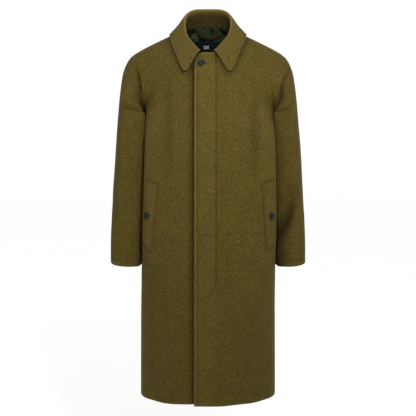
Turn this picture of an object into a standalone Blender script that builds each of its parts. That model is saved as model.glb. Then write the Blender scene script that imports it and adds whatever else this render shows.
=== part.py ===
"""A single-breasted wool overcoat with raglan sleeves, a turned-down collar and a fly front.

The coat hangs as if worn, hollow and open at neck, cuffs and hem. Every cloth panel is a wall.
Each section of a panel is a cubic curve from one seam to the next, worked out from the tables below,
and a smooth curve through the table rows gives everything between the sections.

Metres, +Z up, front towards -Y, wearer's left at +X. The origin lies in the middle of the neck,
level with the collar seam at the nape.
"""

import math
from collections import namedtuple

import bmesh
import bpy
import numpy as np
from mathutils import Matrix, Vector

# Driving dimensions
CLOTH = 0.0030  # wall of the coating with what backs it
COLLAR_CLOTH = 0.0036
WELT_CLOTH = 0.0030
LINING_CLOTH = 0.0010
SEAM_TRIM = 0.00016  # each side of a plain seam, so that the pieces lie about 0.3 mm apart
RAGLAN_TRIM = 0.00045  # the sections meet the raglan seam at a slant
LAYER_GAP = 0.0004  # between cloth and what lies on it
ARMPIT_Z = -0.262
RING_PITCH = 0.015  # height of one level below the armpit, in the body
SLEEVE_PITCH = 0.018  # and in the sleeve
STEADY_LEVELS = (-5.0, 5.0)  # between these the columns follow a steadier length
STEADY_SHARE = 0.72
IRON_LEVELS = 2.5  # how far from the armpit the cloth is ironed smooth
IRON_PASSES = 6
ROWS_BELOW, ROWS_ABOVE = 13, 15  # rows of the body's walls below and above the armpit
BACK_COLUMNS = 12  # from the centre to one side
SLEEVE_ROWS = 14  # below the armpit, and as many above it
SLEEVE_COLUMNS = 13

OVERLAP = 0.0405  # each front reaches this far past the centre
LAP_LIFT = 0.0024  # the upper front stands out by this much over the lap
LAP_SINK = 0.0022  # and the lower front lies in
LAP_FLAT = 0.048
LAP_FADE = 0.110
HEM_DROP = 0.003  # the upper front hangs lower at its edge
HEM_DROP_FROM_Z = -0.70
CORNER_WIDE, CORNER_TALL = 0.030, 0.051  # rounding of the upper front's top corner
CORNER_COLUMNS = (0.0, 0.0022, 0.0065, 0.0130, 0.0230)  # from its edge, the last one past the corner
CORNER_LEVEL = 4.0  # its rows give way to the corner from here up
FRONT_COLUMNS = 14  # from the centre to the side, besides those of the lap

BUTTON_RADIUS = 0.0103
BUTTON_HEIGHT = 0.0036
Turned = namedtuple("Turned", "radius height")  # shares of the button's own radius and height
BUTTON_PROFILE = [
    Turned(0.00, 0.55),
    Turned(0.42, 0.58),
    Turned(0.62, 0.72),
    Turned(0.78, 0.98),
    Turned(0.90, 1.00),
    Turned(0.98, 0.80),
    Turned(1.00, 0.52),
    Turned(0.94, 0.20),
    Turned(0.80, 0.00),
    Turned(0.00, 0.00),
]
BUTTON_HOLE_RADIUS = 0.0010
BUTTON_HOLE_OFFSET = 0.0024  # from the middle of the button
COLLAR_BUTTON_X = -0.020
COLLAR_BUTTON_Z = -0.127
WELT_BUTTON_ACROSS = 0.58  # share of the welt's width, from its sewn edge
WELT_BUTTON_ALONG = 0.50

# Body sections from the hem up to the armpit. front and back are the depths on the centre lines.
# The side seam runs at side_x, side_y, and the corners before and behind it swell past side_x,
# because the sleeve presses the seam in. full is how square the front's section is.
Ring = namedtuple("Ring", "z front back side_x side_y swell full")
RINGS = [
    Ring(-1.135, 0.168, 0.140, 0.2085, -0.010, 0.000, 0.60),
    Ring(-1.000, 0.164, 0.137, 0.2080, -0.008, 0.000, 0.60),
    Ring(-0.850, 0.159, 0.132, 0.2070, -0.005, 0.001, 0.66),
    Ring(-0.740, 0.155, 0.129, 0.2045, -0.003, 0.009, 0.74),
    Ring(-0.620, 0.151, 0.125, 0.2000, 0.000, 0.020, 0.84),
    Ring(-0.500, 0.146, 0.119, 0.1955, 0.003, 0.022, 0.92),
    Ring(-0.400, 0.142, 0.115, 0.1930, 0.005, 0.022, 0.92),
    Ring(-0.320, 0.138, 0.117, 0.1920, 0.006, 0.022, 0.86),
    Ring(ARMPIT_Z, 0.131, 0.120, 0.1920, 0.005, 0.024, 0.70),
]
BACK_SWELL = 0.65  # the swelling behind the side seam, as a share of the one before it
BACK_FULL = 0.76  # and how square the back is, as a share of the front
BACK_FULL_LEAST = 0.70  # where the front is squarer than this, the back is at least this square

# Sleeve sections from the cuff up to the armpit. The outer point carries the overarm seam and the
# inner point the underarm seam. front and back are how far the section reaches past their line, and
# lean is how far it starts outwards from the underarm seam.
Tube = namedtuple("Tube", "outer_x outer_y outer_z inner_x inner_y inner_z front back lean")
TUBES = [
    Tube(0.3005, -0.022, -0.729, 0.2065, 0.000, -0.738, 0.066, 0.048, 0.008),
    Tube(0.3005, -0.014, -0.665, 0.2050, 0.001, -0.665, 0.066, 0.055, 0.012),
    Tube(0.2975, -0.006, -0.600, 0.2025, 0.002, -0.600, 0.068, 0.063, 0.016),
    Tube(0.2945, 0.000, -0.540, 0.2005, 0.003, -0.540, 0.070, 0.070, 0.018),
    Tube(0.2915, 0.005, -0.480, 0.1988, 0.004, -0.480, 0.073, 0.076, 0.022),
    Tube(0.2860, 0.009, -0.400, 0.1970, 0.006, -0.400, 0.078, 0.083, 0.026),
    Tube(0.2815, 0.010, -0.335, 0.1962, 0.007, -0.335, 0.081, 0.088, 0.032),
    Tube(0.2785, 0.010, -0.295, 0.1952, 0.006, -0.295, 0.082, 0.091, 0.036),
    Tube(0.2760, 0.010, ARMPIT_Z, 0.1920, 0.005, ARMPIT_Z, 0.083, 0.092, 0.038),
]
BACK_LEAN = 1.3  # the lean behind, as a share of the one before
CUFF_DIP = 0.005  # the front of the cuff hangs lower

# Stations up the raglan seams, from the armpit to the neck. Each row has the seam on the front, the
# seam on the back, the ridge of the shoulder, and the depth and height of the centre front and back.
# crease is 1 where body and sleeve meet in a fold and 0 where the cloth runs on smoothly. start is
# the body section's squareness at the centre. body, leave and arch are the lengths of the handles as
# shares of those at the armpit: the body's at the seam, the sleeve's at the seam and at the ridge.
Station = namedtuple(
    "Station", "fx fy fz bx by bz rx ry rz cf_y cf_z cb_y cb_z crease start body leave arch"
)
STATIONS = [
    Station(0.192, 0.005, -0.262, 0.192, 0.005, -0.262, 0.2760, 0.010, -0.2620,
            -0.1310, -0.262, 0.1200, -0.262, 1.00, 0.70, 1.00, 1.00, 1.00),
    Station(0.1985, -0.0195, -0.253, 0.200, 0.0303, -0.251, 0.2745, 0.010, -0.2450,
            -0.1300, -0.247, 0.1205, -0.247, 0.95, 0.78, 0.45, 0.81, 0.88),
    Station(0.1985, -0.0498, -0.231, 0.199, 0.0614, -0.226, 0.2722, 0.011, -0.2240,
            -0.1280, -0.231, 0.1210, -0.229, 0.60, 0.67, 0.14, 0.37, 1.03),
    Station(0.1945, -0.0623, -0.202, 0.190, 0.0775, -0.194, 0.2695, 0.012, -0.1970,
            -0.1250, -0.213, 0.1205, -0.202, 0.10, 0.52, 0.37, 0.26, 1.01),
    Station(0.188, -0.0653, -0.174, 0.178, 0.0844, -0.163, 0.2645, 0.013, -0.1560,
            -0.1212, -0.196, 0.1180, -0.172, 0.00, 0.45, 0.71, 0.29, 0.72),
    Station(0.176, -0.0639, -0.148, 0.163, 0.0867, -0.135, 0.2540, 0.014, -0.1220,
            -0.1170, -0.179, 0.1135, -0.143, 0.00, 0.51, 0.68, 0.37, 0.50),
    Station(0.159, -0.0632, -0.125, 0.145, 0.0874, -0.108, 0.2370, 0.014, -0.0955,
            -0.1125, -0.162, 0.1070, -0.115, 0.00, 0.61, 0.63, 0.38, 0.37),
    Station(0.136, -0.0644, -0.104, 0.124, 0.0864, -0.082, 0.2080, 0.014, -0.0760,
            -0.1075, -0.145, 0.0985, -0.087, 0.00, 0.67, 0.57, 0.41, 0.37),
    Station(0.114, -0.063, -0.086, 0.102, 0.081, -0.056, 0.1710, 0.013, -0.0570,
            -0.1020, -0.128, 0.0880, -0.058, 0.00, 0.60, 0.44, 0.32, 0.38),
    Station(0.090, -0.051, -0.066, 0.080, 0.068, -0.030, 0.1250, 0.011, -0.0350,
            -0.0950, -0.111, 0.0760, -0.029, 0.00, 0.60, 0.37, 0.26, 0.30),
    Station(0.068, -0.036, -0.047, 0.057, 0.050, -0.007, 0.0770, 0.008, -0.0140,
            -0.0860, -0.093, 0.0620, 0.000, 0.00, 0.60, 0.33, 0.19, 0.21),
]
NECK_LEVEL = len(STATIONS) - 1

# The fold that runs from the armpit up the front of the sleeve. left and right are how far it lies
# from the middle of the coat on each sleeve, and depth is how far the cloth falls in there.
Fold = namedtuple("Fold", "z left right depth")
ARM_FOLD = [
    Fold(-0.290, 0.2035, 0.1930, 0.000),
    Fold(-0.262, 0.2049, 0.1935, 0.006),
    Fold(-0.240, 0.2105, 0.1968, 0.011),
    Fold(-0.214, 0.2160, 0.2008, 0.013),
    Fold(-0.180, 0.2228, 0.2058, 0.013),
    Fold(-0.156, 0.2367, 0.2103, 0.011),
    Fold(-0.138, 0.2490, 0.2172, 0.006),
    Fold(-0.116, 0.2630, 0.2260, 0.000),
]
FOLD_STEEP = 0.007  # towards the body
FOLD_EASY = 0.024  # towards the sleeve
FOLD_SEAM = 0.008  # the fold starts from nothing over this distance from the seam
FOLD_RIDGE = 0.035  # and ends over this distance from the shoulder's ridge

# The sleeve lies flat against the body: how far the inner part of its front fills out at each level.
Press = namedtuple("Press", "level out")
PRESSED = [
    Press(-26.0, 0.004),
    Press(-20.0, 0.008),
    Press(-13.0, 0.010),
    Press(-7.0, 0.012),
    Press(-2.0, 0.012),
    Press(0.0, 0.006),
    Press(1.2, 0.000),
]
PRESS_FROM_SEAM, PRESS_WIDE = 0.048, 0.028

# The bent left sleeve has a soft trough inside the elbow, given along and across its front section.
TROUGH_LEVELS = (-14.0, -25.0)
TROUGH_ACROSS = (0.64, 0.06)
TROUGH_DEPTH = 0.008
TROUGH_WIDTH = 0.020

# Collar sections from the centre back to the front end. along is the share of the half neck line. The
# roll is the top of the turn, the edge is the free edge, and out is the direction of the turn.
Turn = namedtuple("Turn", "along roll_x roll_y roll_z edge_x edge_y edge_z out")
COLLAR = [
    Turn(0.00, 0.000, 0.060, 0.058, 0.000, 0.0775, -0.014, 90),
    Turn(0.17, 0.044, 0.049, 0.054, 0.056, 0.0720, -0.015, 66),
    Turn(0.34, 0.066, 0.022, 0.035, 0.099, 0.0450, -0.020, 22),
    Turn(0.50, 0.072, -0.005, 0.006, 0.1175, 0.0020, -0.026, -8),
    Turn(0.66, 0.063, -0.043, -0.035, 0.1105, -0.0430, -0.054, -32),
    Turn(0.80, 0.0440, -0.0675, -0.0615, 0.0970, -0.0780, -0.088, -46),
    Turn(0.91, 0.0305, -0.0845, -0.0790, 0.0845, -0.1000, -0.120, -54),
    Turn(0.97, 0.0250, -0.0915, -0.0845, 0.0745, -0.1115, -0.1435, -58),
    Turn(0.99, 0.0235, -0.0933, -0.0863, 0.0705, -0.1160, -0.1505, -59),
    Turn(1.00, 0.0230, -0.0940, -0.0870, 0.0670, -0.1155, -0.1480, -60),
]
COLLAR_SHARES = tuple(np.linspace(0, 0.93, 14)) + (0.97, 0.99, 1.0)
COLLAR_END_X = 0.022  # where the collar stops short of the centre front
COLLAR_SHIFT = -0.0025  # the collar closes a little towards the lap's edge
COLLAR_TURN = 0.0065
COLLAR_FOOT = 0.0024  # the stand starts this far above the neck edge
COLLAR_END_LIFT = 0.0025  # and this much higher at its front ends, which rise over the lap

# Pocket welts. The sewn edge runs from the lower to the upper corner, and the ends slope.
WELT_LOW_X, WELT_LOW_Z = 0.170, -0.687
WELT_TOP_X, WELT_TOP_Z = 0.152, -0.490
WELT_WIDTH = 0.048
WELT_SLOPE = 0.017  # the free edge sits this much higher

# Back neck lining with its label and hanger
LINING_TOP_LEVEL = 9.94
LINING_LOW_ROW = 4  # the back's row above the armpit at which the lining ends
LINING_COLUMNS_SHORT = 1  # columns of the back that it stops short of at each side
LINING_SLEEVE_ROWS = 4  # rows of the sleeve, from the neck down, that the open neck shows
LABEL_WIDTH = 0.090
LABEL_TOP_Z, LABEL_LOW_Z = -0.041, -0.088
LABEL_CLOTH = 0.0008
LOOP_WIDTH = 0.010
LOOP_CLOTH = 0.0024
LOOP_BULGE = 0.006  # the middle of the hanger stands off the lining
Bow = namedtuple("Bow", "x z")
LOOP_PATH = [
    Bow(-0.0310, -0.0030),
    Bow(-0.0285, -0.0120),
    Bow(-0.0195, -0.0225),
    Bow(-0.0050, -0.0285),
    Bow(0.0110, -0.0300),
    Bow(0.0245, -0.0265),
    Bow(0.0320, -0.0170),
    Bow(0.0325, -0.0030),
]
LOOP_TOP_Z = -0.0015

COATING = ((0.108, 0.079, 0.020), 0.9)
LINING = ((0.016, 0.024, 0.012), 0.45)
LABEL = ((0.006, 0.009, 0.010), 0.7)
HORN = ((0.010, 0.014, 0.016), 0.3)
STRAP = ((0.033, 0.016, 0.012), 0.55)


def vec(*numbers):
    return np.array(numbers, float)


def unit(vectors):
    return vectors / np.linalg.norm(vectors, axis=-1, keepdims=True)


def ease(share):
    """0 to 1 with flat ends."""
    share = np.clip(share, 0.0, 1.0)
    return share * share * (3 - 2 * share)


def smooth_through(knots, values, at):
    """A smooth curve through rows of values, read at each number in at."""
    knots, values = np.asarray(knots, float), np.asarray(values, float)
    steps = np.diff(knots)
    shape = (-1,) + (1,) * (values.ndim - 1)
    slopes = np.diff(values, axis=0) / steps.reshape(shape)
    before, after = steps[:-1].reshape(shape), steps[1:].reshape(shape)
    inner = (slopes[:-1] * after + slopes[1:] * before) / (before + after)
    tangents = np.concatenate([slopes[:1], inner, slopes[-1:]])
    at = np.clip(np.asarray(at, float), knots[0], knots[-1])
    i = np.clip(np.searchsorted(knots, at, side="right") - 1, 0, len(steps) - 1)
    step = steps[i]
    t = ((at - knots[i]) / step).reshape(shape)
    step = step.reshape(shape)
    return (
        (1 + 2 * t) * (1 - t) ** 2 * values[i]
        + t * (1 - t) ** 2 * step * tangents[i]
        + t * t * (3 - 2 * t) * values[i + 1]
        + t * t * (t - 1) * step * tangents[i + 1]
    )


class Panel:
    """A cloth surface made of sections. A section is a cubic curve from its start seam to its end seam,
    with four control points. The seam that passes the armpit turns a corner there."""

    def __init__(self, levels, sections, seam_column, outward):
        self.levels = np.array(levels, float)
        self.sections = np.array(sections, float)
        self.armpit = int(np.argmin(np.abs(self.levels)))
        self.seam_column = seam_column
        self.outward = outward

    def controls(self, level):
        level = np.atleast_1d(np.asarray(level, float))
        made = smooth_through(self.levels, self.sections, level)
        seam = self.sections[:, self.seam_column]
        below = smooth_through(self.levels[: self.armpit + 1], seam[: self.armpit + 1], level)
        above = smooth_through(self.levels[self.armpit :], seam[self.armpit :], level)
        made[:, self.seam_column] = np.where(level[:, None] < 0, below, above)
        return made

    def at(self, level, u):
        """Points at levels (n) and shares u (n, m) of the curve's own parameter."""
        c = self.controls(level)[:, None]
        u = np.asarray(u, float)[..., None]
        v = 1 - u
        return (
            v**3 * c[:, :, 0]
            + 3 * v * v * u * c[:, :, 1]
            + 3 * v * u * u * c[:, :, 2]
            + u**3 * c[:, :, 3]
        )

    def shares(self, level, lengths):
        """The curve parameter at each length (n, m) from the section's start."""
        dense = np.linspace(0, 1, 97)
        level = np.atleast_1d(level)
        points = self.at(level, np.tile(dense, (len(level), 1)))
        runs = np.cumsum(np.linalg.norm(np.diff(points, axis=1), axis=2), axis=1)
        found = []
        for run, wanted in zip(runs, lengths):
            found.append(np.interp(wanted, np.concatenate([[0], run]), dense))
        return np.array(found)

    def length(self, level):
        points = self.at(level, np.tile(np.linspace(0, 1, 97), (len(np.atleast_1d(level)), 1)))
        return np.linalg.norm(np.diff(points, axis=1), axis=2).sum(axis=1)

    def columns(self, level, shares, trim):
        """Lengths from the section's start for shares 0 to 1 of it. Sections change length quickly at
        the armpit, so the shares away from the seam follow a steadier length."""
        level = np.asarray(level, float)
        ends = self.length(level)
        steady = np.interp(level, STEADY_LEVELS, self.length(vec(*STEADY_LEVELS)))
        outside = (level < STEADY_LEVELS[0]) | (level > STEADY_LEVELS[1])
        steady = np.minimum(STEADY_SHARE * np.where(outside, ends, steady), 0.85 * ends)
        at_end = self.seam_column == 3
        from_far = shares if at_end else 1 - shares
        lengths = []
        for end, even, cut in zip(ends, steady, trim):
            run = np.interp(from_far, [0, STEADY_SHARE, 1], [0, even, end - cut])
            lengths.append(run if at_end else end - run)
        return np.array(lengths)

    def normals(self, level, u):
        """Outward directions at the same places."""
        level = np.atleast_1d(np.asarray(level, float))
        step = 1e-3
        across = self.at(level, np.minimum(u + step, 1)) - self.at(level, np.maximum(u - step, 0))
        up = np.minimum(level + 20 * step, self.levels[-1])
        down = np.maximum(level - 20 * step, self.levels[0])
        along = self.at(up, u) - self.at(down, u)
        return unit(np.cross(across, along)) * self.outward


def body_section(centre, start, end, end_handle):
    """From the centre line, square to it, to the seam. start is a share of the width."""
    return [centre, centre + vec(start * end[0], 0, 0), end + end_handle, end]


def ring_full(ring, side):
    """How square the body's section is before (side -1) or behind (side 1) the side seam."""
    if side < 0:
        return ring.full
    return min(ring.full, max(BACK_FULL_LEAST, ring.full * BACK_FULL))


def ring_handle(ring, side):
    """From the side seam back along the body's section."""
    depth = ring.front if side < 0 else ring.back
    swell = ring.swell if side < 0 else ring.swell * BACK_SWELL
    return vec(swell, side * ring_full(ring, side) * (depth - side * ring.side_y), 0)


def tube_handle(tube, side):
    """From the underarm seam forward or back along the sleeve's section."""
    lean = tube.lean if side < 0 else tube.lean * BACK_LEAN
    return vec(lean, side * (tube.front if side < 0 else tube.back) * 4 / 3, 0)


def seam_handles(station, centre, side):
    """Handles of the body's section and of the sleeve's section at the raglan seam."""
    ridge = vec(station.rx, station.ry, station.rz)
    smooth = unit(ridge - centre)
    body, sleeve = ring_handle(RINGS[-1], side), tube_handle(TUBES[-1], side)
    body_way = (1 - station.crease) * smooth - station.crease * unit(body)
    sleeve_way = (1 - station.crease) * smooth + station.crease * unit(sleeve)
    return (
        -unit(body_way) * np.linalg.norm(body) * station.body,
        unit(sleeve_way) * np.linalg.norm(sleeve) * station.leave,
    )


def body_panel(side):
    """The front (side -1) or back (side 1) of the body, wearer's left half."""
    levels, sections = [], []
    for ring in RINGS[:-1]:
        depth = ring.front if side < 0 else ring.back
        centre = vec(0, side * depth, ring.z)
        end = vec(ring.side_x, ring.side_y, ring.z)
        levels.append((ring.z - ARMPIT_Z) / RING_PITCH)
        sections.append(body_section(centre, ring_full(ring, side), end, ring_handle(ring, side)))
    for level, row in enumerate(STATIONS):
        if side < 0:
            centre, end = vec(0, row.cf_y, row.cf_z), vec(row.fx, row.fy, row.fz)
        else:
            centre, end = vec(0, row.cb_y, row.cb_z), vec(row.bx, row.by, row.bz)
        handle, _ = seam_handles(row, centre, side)
        levels.append(level)
        sections.append(body_section(centre, row.start, end, handle))
    return Panel(levels, sections, 3, 1 if side < 0 else -1)


def sleeve_panel(side):
    """The front (side -1) or back (side 1) half of the left sleeve, from its inner seam to the ridge."""
    levels, sections = [], []
    for tube in TUBES[:-1]:
        inner = vec(tube.inner_x, tube.inner_y, tube.inner_z)
        outer = vec(tube.outer_x, tube.outer_y, tube.outer_z)
        handle = tube_handle(tube, side)
        dip = vec(0, 0, CUFF_DIP * side if tube is TUBES[0] else 0.0)
        levels.append((tube.outer_z - ARMPIT_Z) / SLEEVE_PITCH)
        sections.append([inner, inner + handle + dip, outer + handle * vec(0, 1, 0) + dip, outer])
    for level, row in enumerate(STATIONS):
        if side < 0:
            centre, start = vec(0, row.cf_y, row.cf_z), vec(row.fx, row.fy, row.fz)
        else:
            centre, start = vec(0, row.cb_y, row.cb_z), vec(row.bx, row.by, row.bz)
        ridge = vec(row.rx, row.ry, row.rz)
        _, handle = seam_handles(row, centre, side)
        arch = tube_handle(TUBES[-1], side) * vec(0, row.arch, 0)
        levels.append(level)
        sections.append([start, start + handle, ridge + arch, ridge])
    return Panel(levels, sections, 0, 1 if side < 0 else -1)


FRONT, BACK = body_panel(-1), body_panel(1)
SLEEVE_FRONT, SLEEVE_BACK = sleeve_panel(-1), sleeve_panel(1)


def ring_level(z):
    """The body's level at a height below the armpit."""
    return (z - ARMPIT_Z) / RING_PITCH


def body_levels(steps_below, steps_above):
    below = np.linspace(FRONT.levels[0], 0, steps_below + 1)
    above = np.linspace(0, NECK_LEVEL, steps_above + 1)
    return np.concatenate([below, above[1:]])


def sleeve_levels(steps_below, steps_above):
    below = np.linspace(SLEEVE_FRONT.levels[0], 0, steps_below + 1)
    above = np.linspace(0, NECK_LEVEL, steps_above + 1)
    return np.concatenate([below, above[1:]])


def centre_level(panel, z):
    """The level whose centre line point lies at height z."""
    dense = np.linspace(panel.levels[0], panel.levels[-1], 1200)
    return float(np.interp(z, panel.controls(dense)[:, 0, 2], dense))


def mitre(normals, levels, column, way):
    """Below the armpit, turns the offsets along a side seam so that both panels' walls meet there."""
    below = levels <= 0
    square = vec(way, 0, 0)
    slant = normals[below, column] @ square
    normals[below, column] = square / slant[:, None]


def ironed(points, levels):
    """Evens out the columns near the armpit, where the sections change quickly. The seams stay."""
    near = np.exp(-((levels[1:-1] / IRON_LEVELS) ** 2))[:, None, None]
    points = points.copy()
    for _ in range(IRON_PASSES):
        below, middle, above = points[:-2, 1:-1], points[1:-1, 1:-1], points[2:, 1:-1]
        down = np.linalg.norm(below - middle, axis=2, keepdims=True)
        up = np.linalg.norm(above - middle, axis=2, keepdims=True)
        straight = (below * up + above * down) / (up + down)
        points[1:-1, 1:-1] = middle + (straight - middle) * near
    return points


def mirrored(grid, side):
    return grid * vec(side, 1, 1)


def wall_mesh(name, outer, inner):
    """A closed wall between two grids of points, with a rim all round."""
    rows, columns = outer.shape[:2]
    mesh = bmesh.new()
    shells = []
    for grid in (outer, inner):
        shells.append([[mesh.verts.new(p) for p in row] for row in grid])
    for shell in shells:
        for r in range(rows - 1):
            for c in range(columns - 1):
                mesh.faces.new((shell[r][c], shell[r][c + 1], shell[r + 1][c + 1], shell[r + 1][c]))
    border = [(0, c) for c in range(columns)]
    border += [(r, columns - 1) for r in range(1, rows)]
    border += [(rows - 1, c) for c in range(columns - 2, -1, -1)]
    border += [(r, 0) for r in range(rows - 2, 0, -1)]
    for (r, c), (s, d) in zip(border, border[1:] + border[:1]):
        mesh.faces.new((shells[0][r][c], shells[0][s][d], shells[1][s][d], shells[1][r][c]))
    bmesh.ops.recalc_face_normals(mesh, faces=mesh.faces)
    return finished(name, mesh)


def finished(name, mesh):
    data = bpy.data.meshes.new(name)
    mesh.to_mesh(data)
    mesh.free()
    data.shade_smooth()
    data.set_sharp_from_angle(angle=math.radians(60))
    return data


def material(name, look):
    (red, green, blue), roughness = look
    made = bpy.data.materials.new(name)
    made.use_nodes = True
    shader = made.node_tree.nodes["Principled BSDF"]
    shader.inputs["Base Color"].default_value = (red, green, blue, 1)
    shader.inputs["Roughness"].default_value = roughness
    shader.inputs["Metallic"].default_value = 0.0
    return made


def add(name, data, look, place=None):
    made = bpy.data.objects.new(name, data)
    bpy.context.scene.collection.objects.link(made)
    data.materials.append(material(name, look))
    if place is not None:
        made.matrix_world = place
    made.parent = bpy.data.objects["coat"]
    return made


def front_place(level, lengths, side):
    """Points and normals of a front at lengths from the centre line, with the lap lifted or sunk.
    Lengths below 0 reach past the centre onto the other half."""
    u = FRONT.shares(level, np.abs(lengths))
    points, normals = FRONT.at(level, u), FRONT.normals(level, u)
    past = np.where(lengths < 0, -1.0, 1.0)[..., None] * vec(1, 0, 0) + vec(0, 1, 1)
    points, normals = points * past, normals * past
    lap = 1 - ease((lengths - LAP_FLAT) / (LAP_FADE - LAP_FLAT))
    points = points + normals * ((LAP_LIFT if side > 0 else -LAP_SINK) * lap)[..., None]
    if side > 0:
        start = ring_level(HEM_DROP_FROM_Z)
        low = ease((start - level) / (start - FRONT.levels[0]))
        points[..., 2] -= HEM_DROP * lap * low[:, None]
    return points, normals


def rounded_levels(levels, lengths):
    """Levels of the upper front's columns, whose top rows come down along its rounded corner."""
    away = np.clip(1 - (lengths + OVERLAP) / CORNER_WIDE, 0, 1)
    drop = CORNER_TALL * (1 - np.sqrt(1 - away**2))
    top = np.array([centre_level(FRONT, STATIONS[-1].cf_z - d) for d in drop])
    high = np.clip((levels[:, None] - CORNER_LEVEL) / (NECK_LEVEL - CORNER_LEVEL), 0, 1)
    return levels[:, None] - high * (NECK_LEVEL - top)[None, :]


def front(name, side):
    levels = body_levels(ROWS_BELOW, ROWS_ABOVE)
    trim = np.where(levels < 0, SEAM_TRIM, RAGLAN_TRIM)
    edge = CORNER_COLUMNS if side > 0 else CORNER_COLUMNS[::2]
    lap = np.append(np.array(edge) - OVERLAP, 0.0)
    lengths = FRONT.columns(levels, np.linspace(0, 1, FRONT_COLUMNS)[1:], trim)
    lengths = np.concatenate([np.tile(lap, (len(levels), 1)), lengths], axis=1)
    points, normals = front_place(levels, lengths, side)
    if side > 0:
        rounded = rounded_levels(levels, lap)
        for column in range(len(lap)):
            p, n = front_place(rounded[:, column], lengths[:, column : column + 1], side)
            points[:, column], normals[:, column] = p[:, 0], n[:, 0]
    points[:, len(lap) :] = ironed(points, levels)[:, len(lap) :]
    mitre(normals, levels, -1, 1)
    outer = mirrored(points, side)
    inner = mirrored(points - normals * CLOTH, side)
    return add(name, wall_mesh(name, outer, inner), COATING)


def back_place(level, lengths, inset=0.0):
    """Points and normals of the back at lengths left (+) or right (-) of the centre line, moved in."""
    u = BACK.shares(level, np.abs(lengths))
    points, normals = BACK.at(level, u), BACK.normals(level, u)
    past = np.where(lengths < 0, -1.0, 1.0)[..., None] * vec(1, 0, 0) + vec(0, 1, 1)
    points, normals = points * past, normals * past
    return points - normals * inset, normals


def back_grid(levels):
    """Where the back's columns cross those levels."""
    trim = np.where(levels < 0, SEAM_TRIM, RAGLAN_TRIM)
    half = BACK.columns(levels, np.linspace(0, 1, BACK_COLUMNS), trim)
    return np.concatenate([-half[:, :0:-1], half], axis=1)


def back_rows(top_level):
    """The back's outer points and normals, row by row up to that level."""
    levels = body_levels(ROWS_BELOW, ROWS_ABOVE)
    levels[-1] = top_level
    points, normals = back_place(levels, back_grid(levels))
    return levels, ironed(points, levels), normals


def back():
    levels, points, normals = back_rows(NECK_LEVEL)
    mitre(normals, levels, 0, -1)
    mitre(normals, levels, -1, 1)
    return add("back", wall_mesh("back", points, points - normals * CLOTH), COATING)


def arm_fold(points, lengths, ends, side):
    """How far the armpit fold moves the cloth of that side's sleeve in, at points of the left one."""
    knots = [fold.z for fold in ARM_FOLD]
    reach = [fold.left if side > 0 else fold.right for fold in ARM_FOLD]
    z = points[..., 2].ravel()
    off = points[..., 0] - smooth_through(knots, reach, z).reshape(lengths.shape)
    depth = smooth_through(knots, [fold.depth for fold in ARM_FOLD], z).reshape(lengths.shape)
    width = np.where(off < 0, FOLD_STEEP, FOLD_EASY)
    held = ease(lengths / FOLD_SEAM) * ease((ends[:, None] - lengths) / FOLD_RIDGE)
    return depth * np.exp(-((off / width) ** 2)) * held


def pressed_out(level, lengths):
    """How far the inner part of the sleeve's front fills out against the body."""
    out = smooth_through([press.level for press in PRESSED], [press.out for press in PRESSED], level)
    off = (lengths - PRESS_FROM_SEAM) / PRESS_WIDE
    return out[:, None] * np.exp(-off * off) * ease(lengths / PRESS_FROM_SEAM)


def elbow_trough(level, across, lengths):
    along = (level - TROUGH_LEVELS[0]) / (TROUGH_LEVELS[1] - TROUGH_LEVELS[0])
    place = TROUGH_ACROSS[0] + (TROUGH_ACROSS[1] - TROUGH_ACROSS[0]) * along
    depth = TROUGH_DEPTH * np.sin(math.pi * np.clip(along, 0, 1)) ** 2
    off = (across - place[:, None]) * lengths[:, None]
    return depth[:, None] * np.exp(-((off / TROUGH_WIDTH) ** 2))


def sleeve_rows(panel, top_level):
    """A sleeve half's levels, lengths, outer points and normals, row by row up to that level."""
    levels = sleeve_levels(SLEEVE_ROWS, SLEEVE_ROWS)
    levels[-1] = top_level
    trim = np.where(levels < 0, SEAM_TRIM, RAGLAN_TRIM)
    lengths = panel.columns(levels, np.linspace(0, 1, SLEEVE_COLUMNS), trim)
    lengths[:, -1] -= SEAM_TRIM
    u = panel.shares(levels, lengths)
    return levels, lengths, ironed(panel.at(levels, u), levels), panel.normals(levels, u)


def sleeve(name, panel, side):
    levels, lengths, points, normals = sleeve_rows(panel, NECK_LEVEL)
    mitre(normals, levels, 0, -1)
    if panel is SLEEVE_FRONT:
        ends = panel.length(levels)
        across = lengths / ends[:, None]
        moved = arm_fold(points, lengths, ends, side) - pressed_out(levels, lengths)
        if side > 0:
            moved = moved + elbow_trough(levels, across, ends)
        points = points - normals * moved[..., None]
    outer = mirrored(points, side)
    inner = mirrored(points - normals * CLOTH, side)
    return add(name, wall_mesh(name, outer, inner), COATING)


def neck_line():
    """The left half of the neck edge as a fine run of points from the centre back to the collar's end."""
    dense = np.linspace(0, 1, 60)[None, :]
    top = vec(NECK_LEVEL)
    runs = [
        BACK.at(top, dense)[0],
        SLEEVE_BACK.at(top, dense)[0],
        SLEEVE_FRONT.at(top, dense)[0][::-1],
        FRONT.at(top, dense)[0][::-1],
    ]
    points = np.concatenate([runs[0], runs[1][1:], runs[2][1:], runs[3][1:]])
    keep = np.ones(len(points), bool)
    keep[-len(runs[3]) :] = points[-len(runs[3]) :, 0] >= COLLAR_END_X
    return points[keep]


def along_line(points, shares):
    run = np.concatenate([[0], np.cumsum(np.linalg.norm(np.diff(points, axis=0), axis=1))])
    wanted = np.asarray(shares) * run[-1]
    return np.stack([np.interp(wanted, run, points[:, i]) for i in range(3)], axis=1)


def cubic(a, b, c, d, share):
    t = np.asarray(share, float)[None, :, None]
    a, b, c, d = (p[:, None, :] for p in (a, b, c, d))
    return (1 - t) ** 3 * a + 3 * (1 - t) ** 2 * t * b + 3 * (1 - t) * t * t * c + t**3 * d


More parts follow.
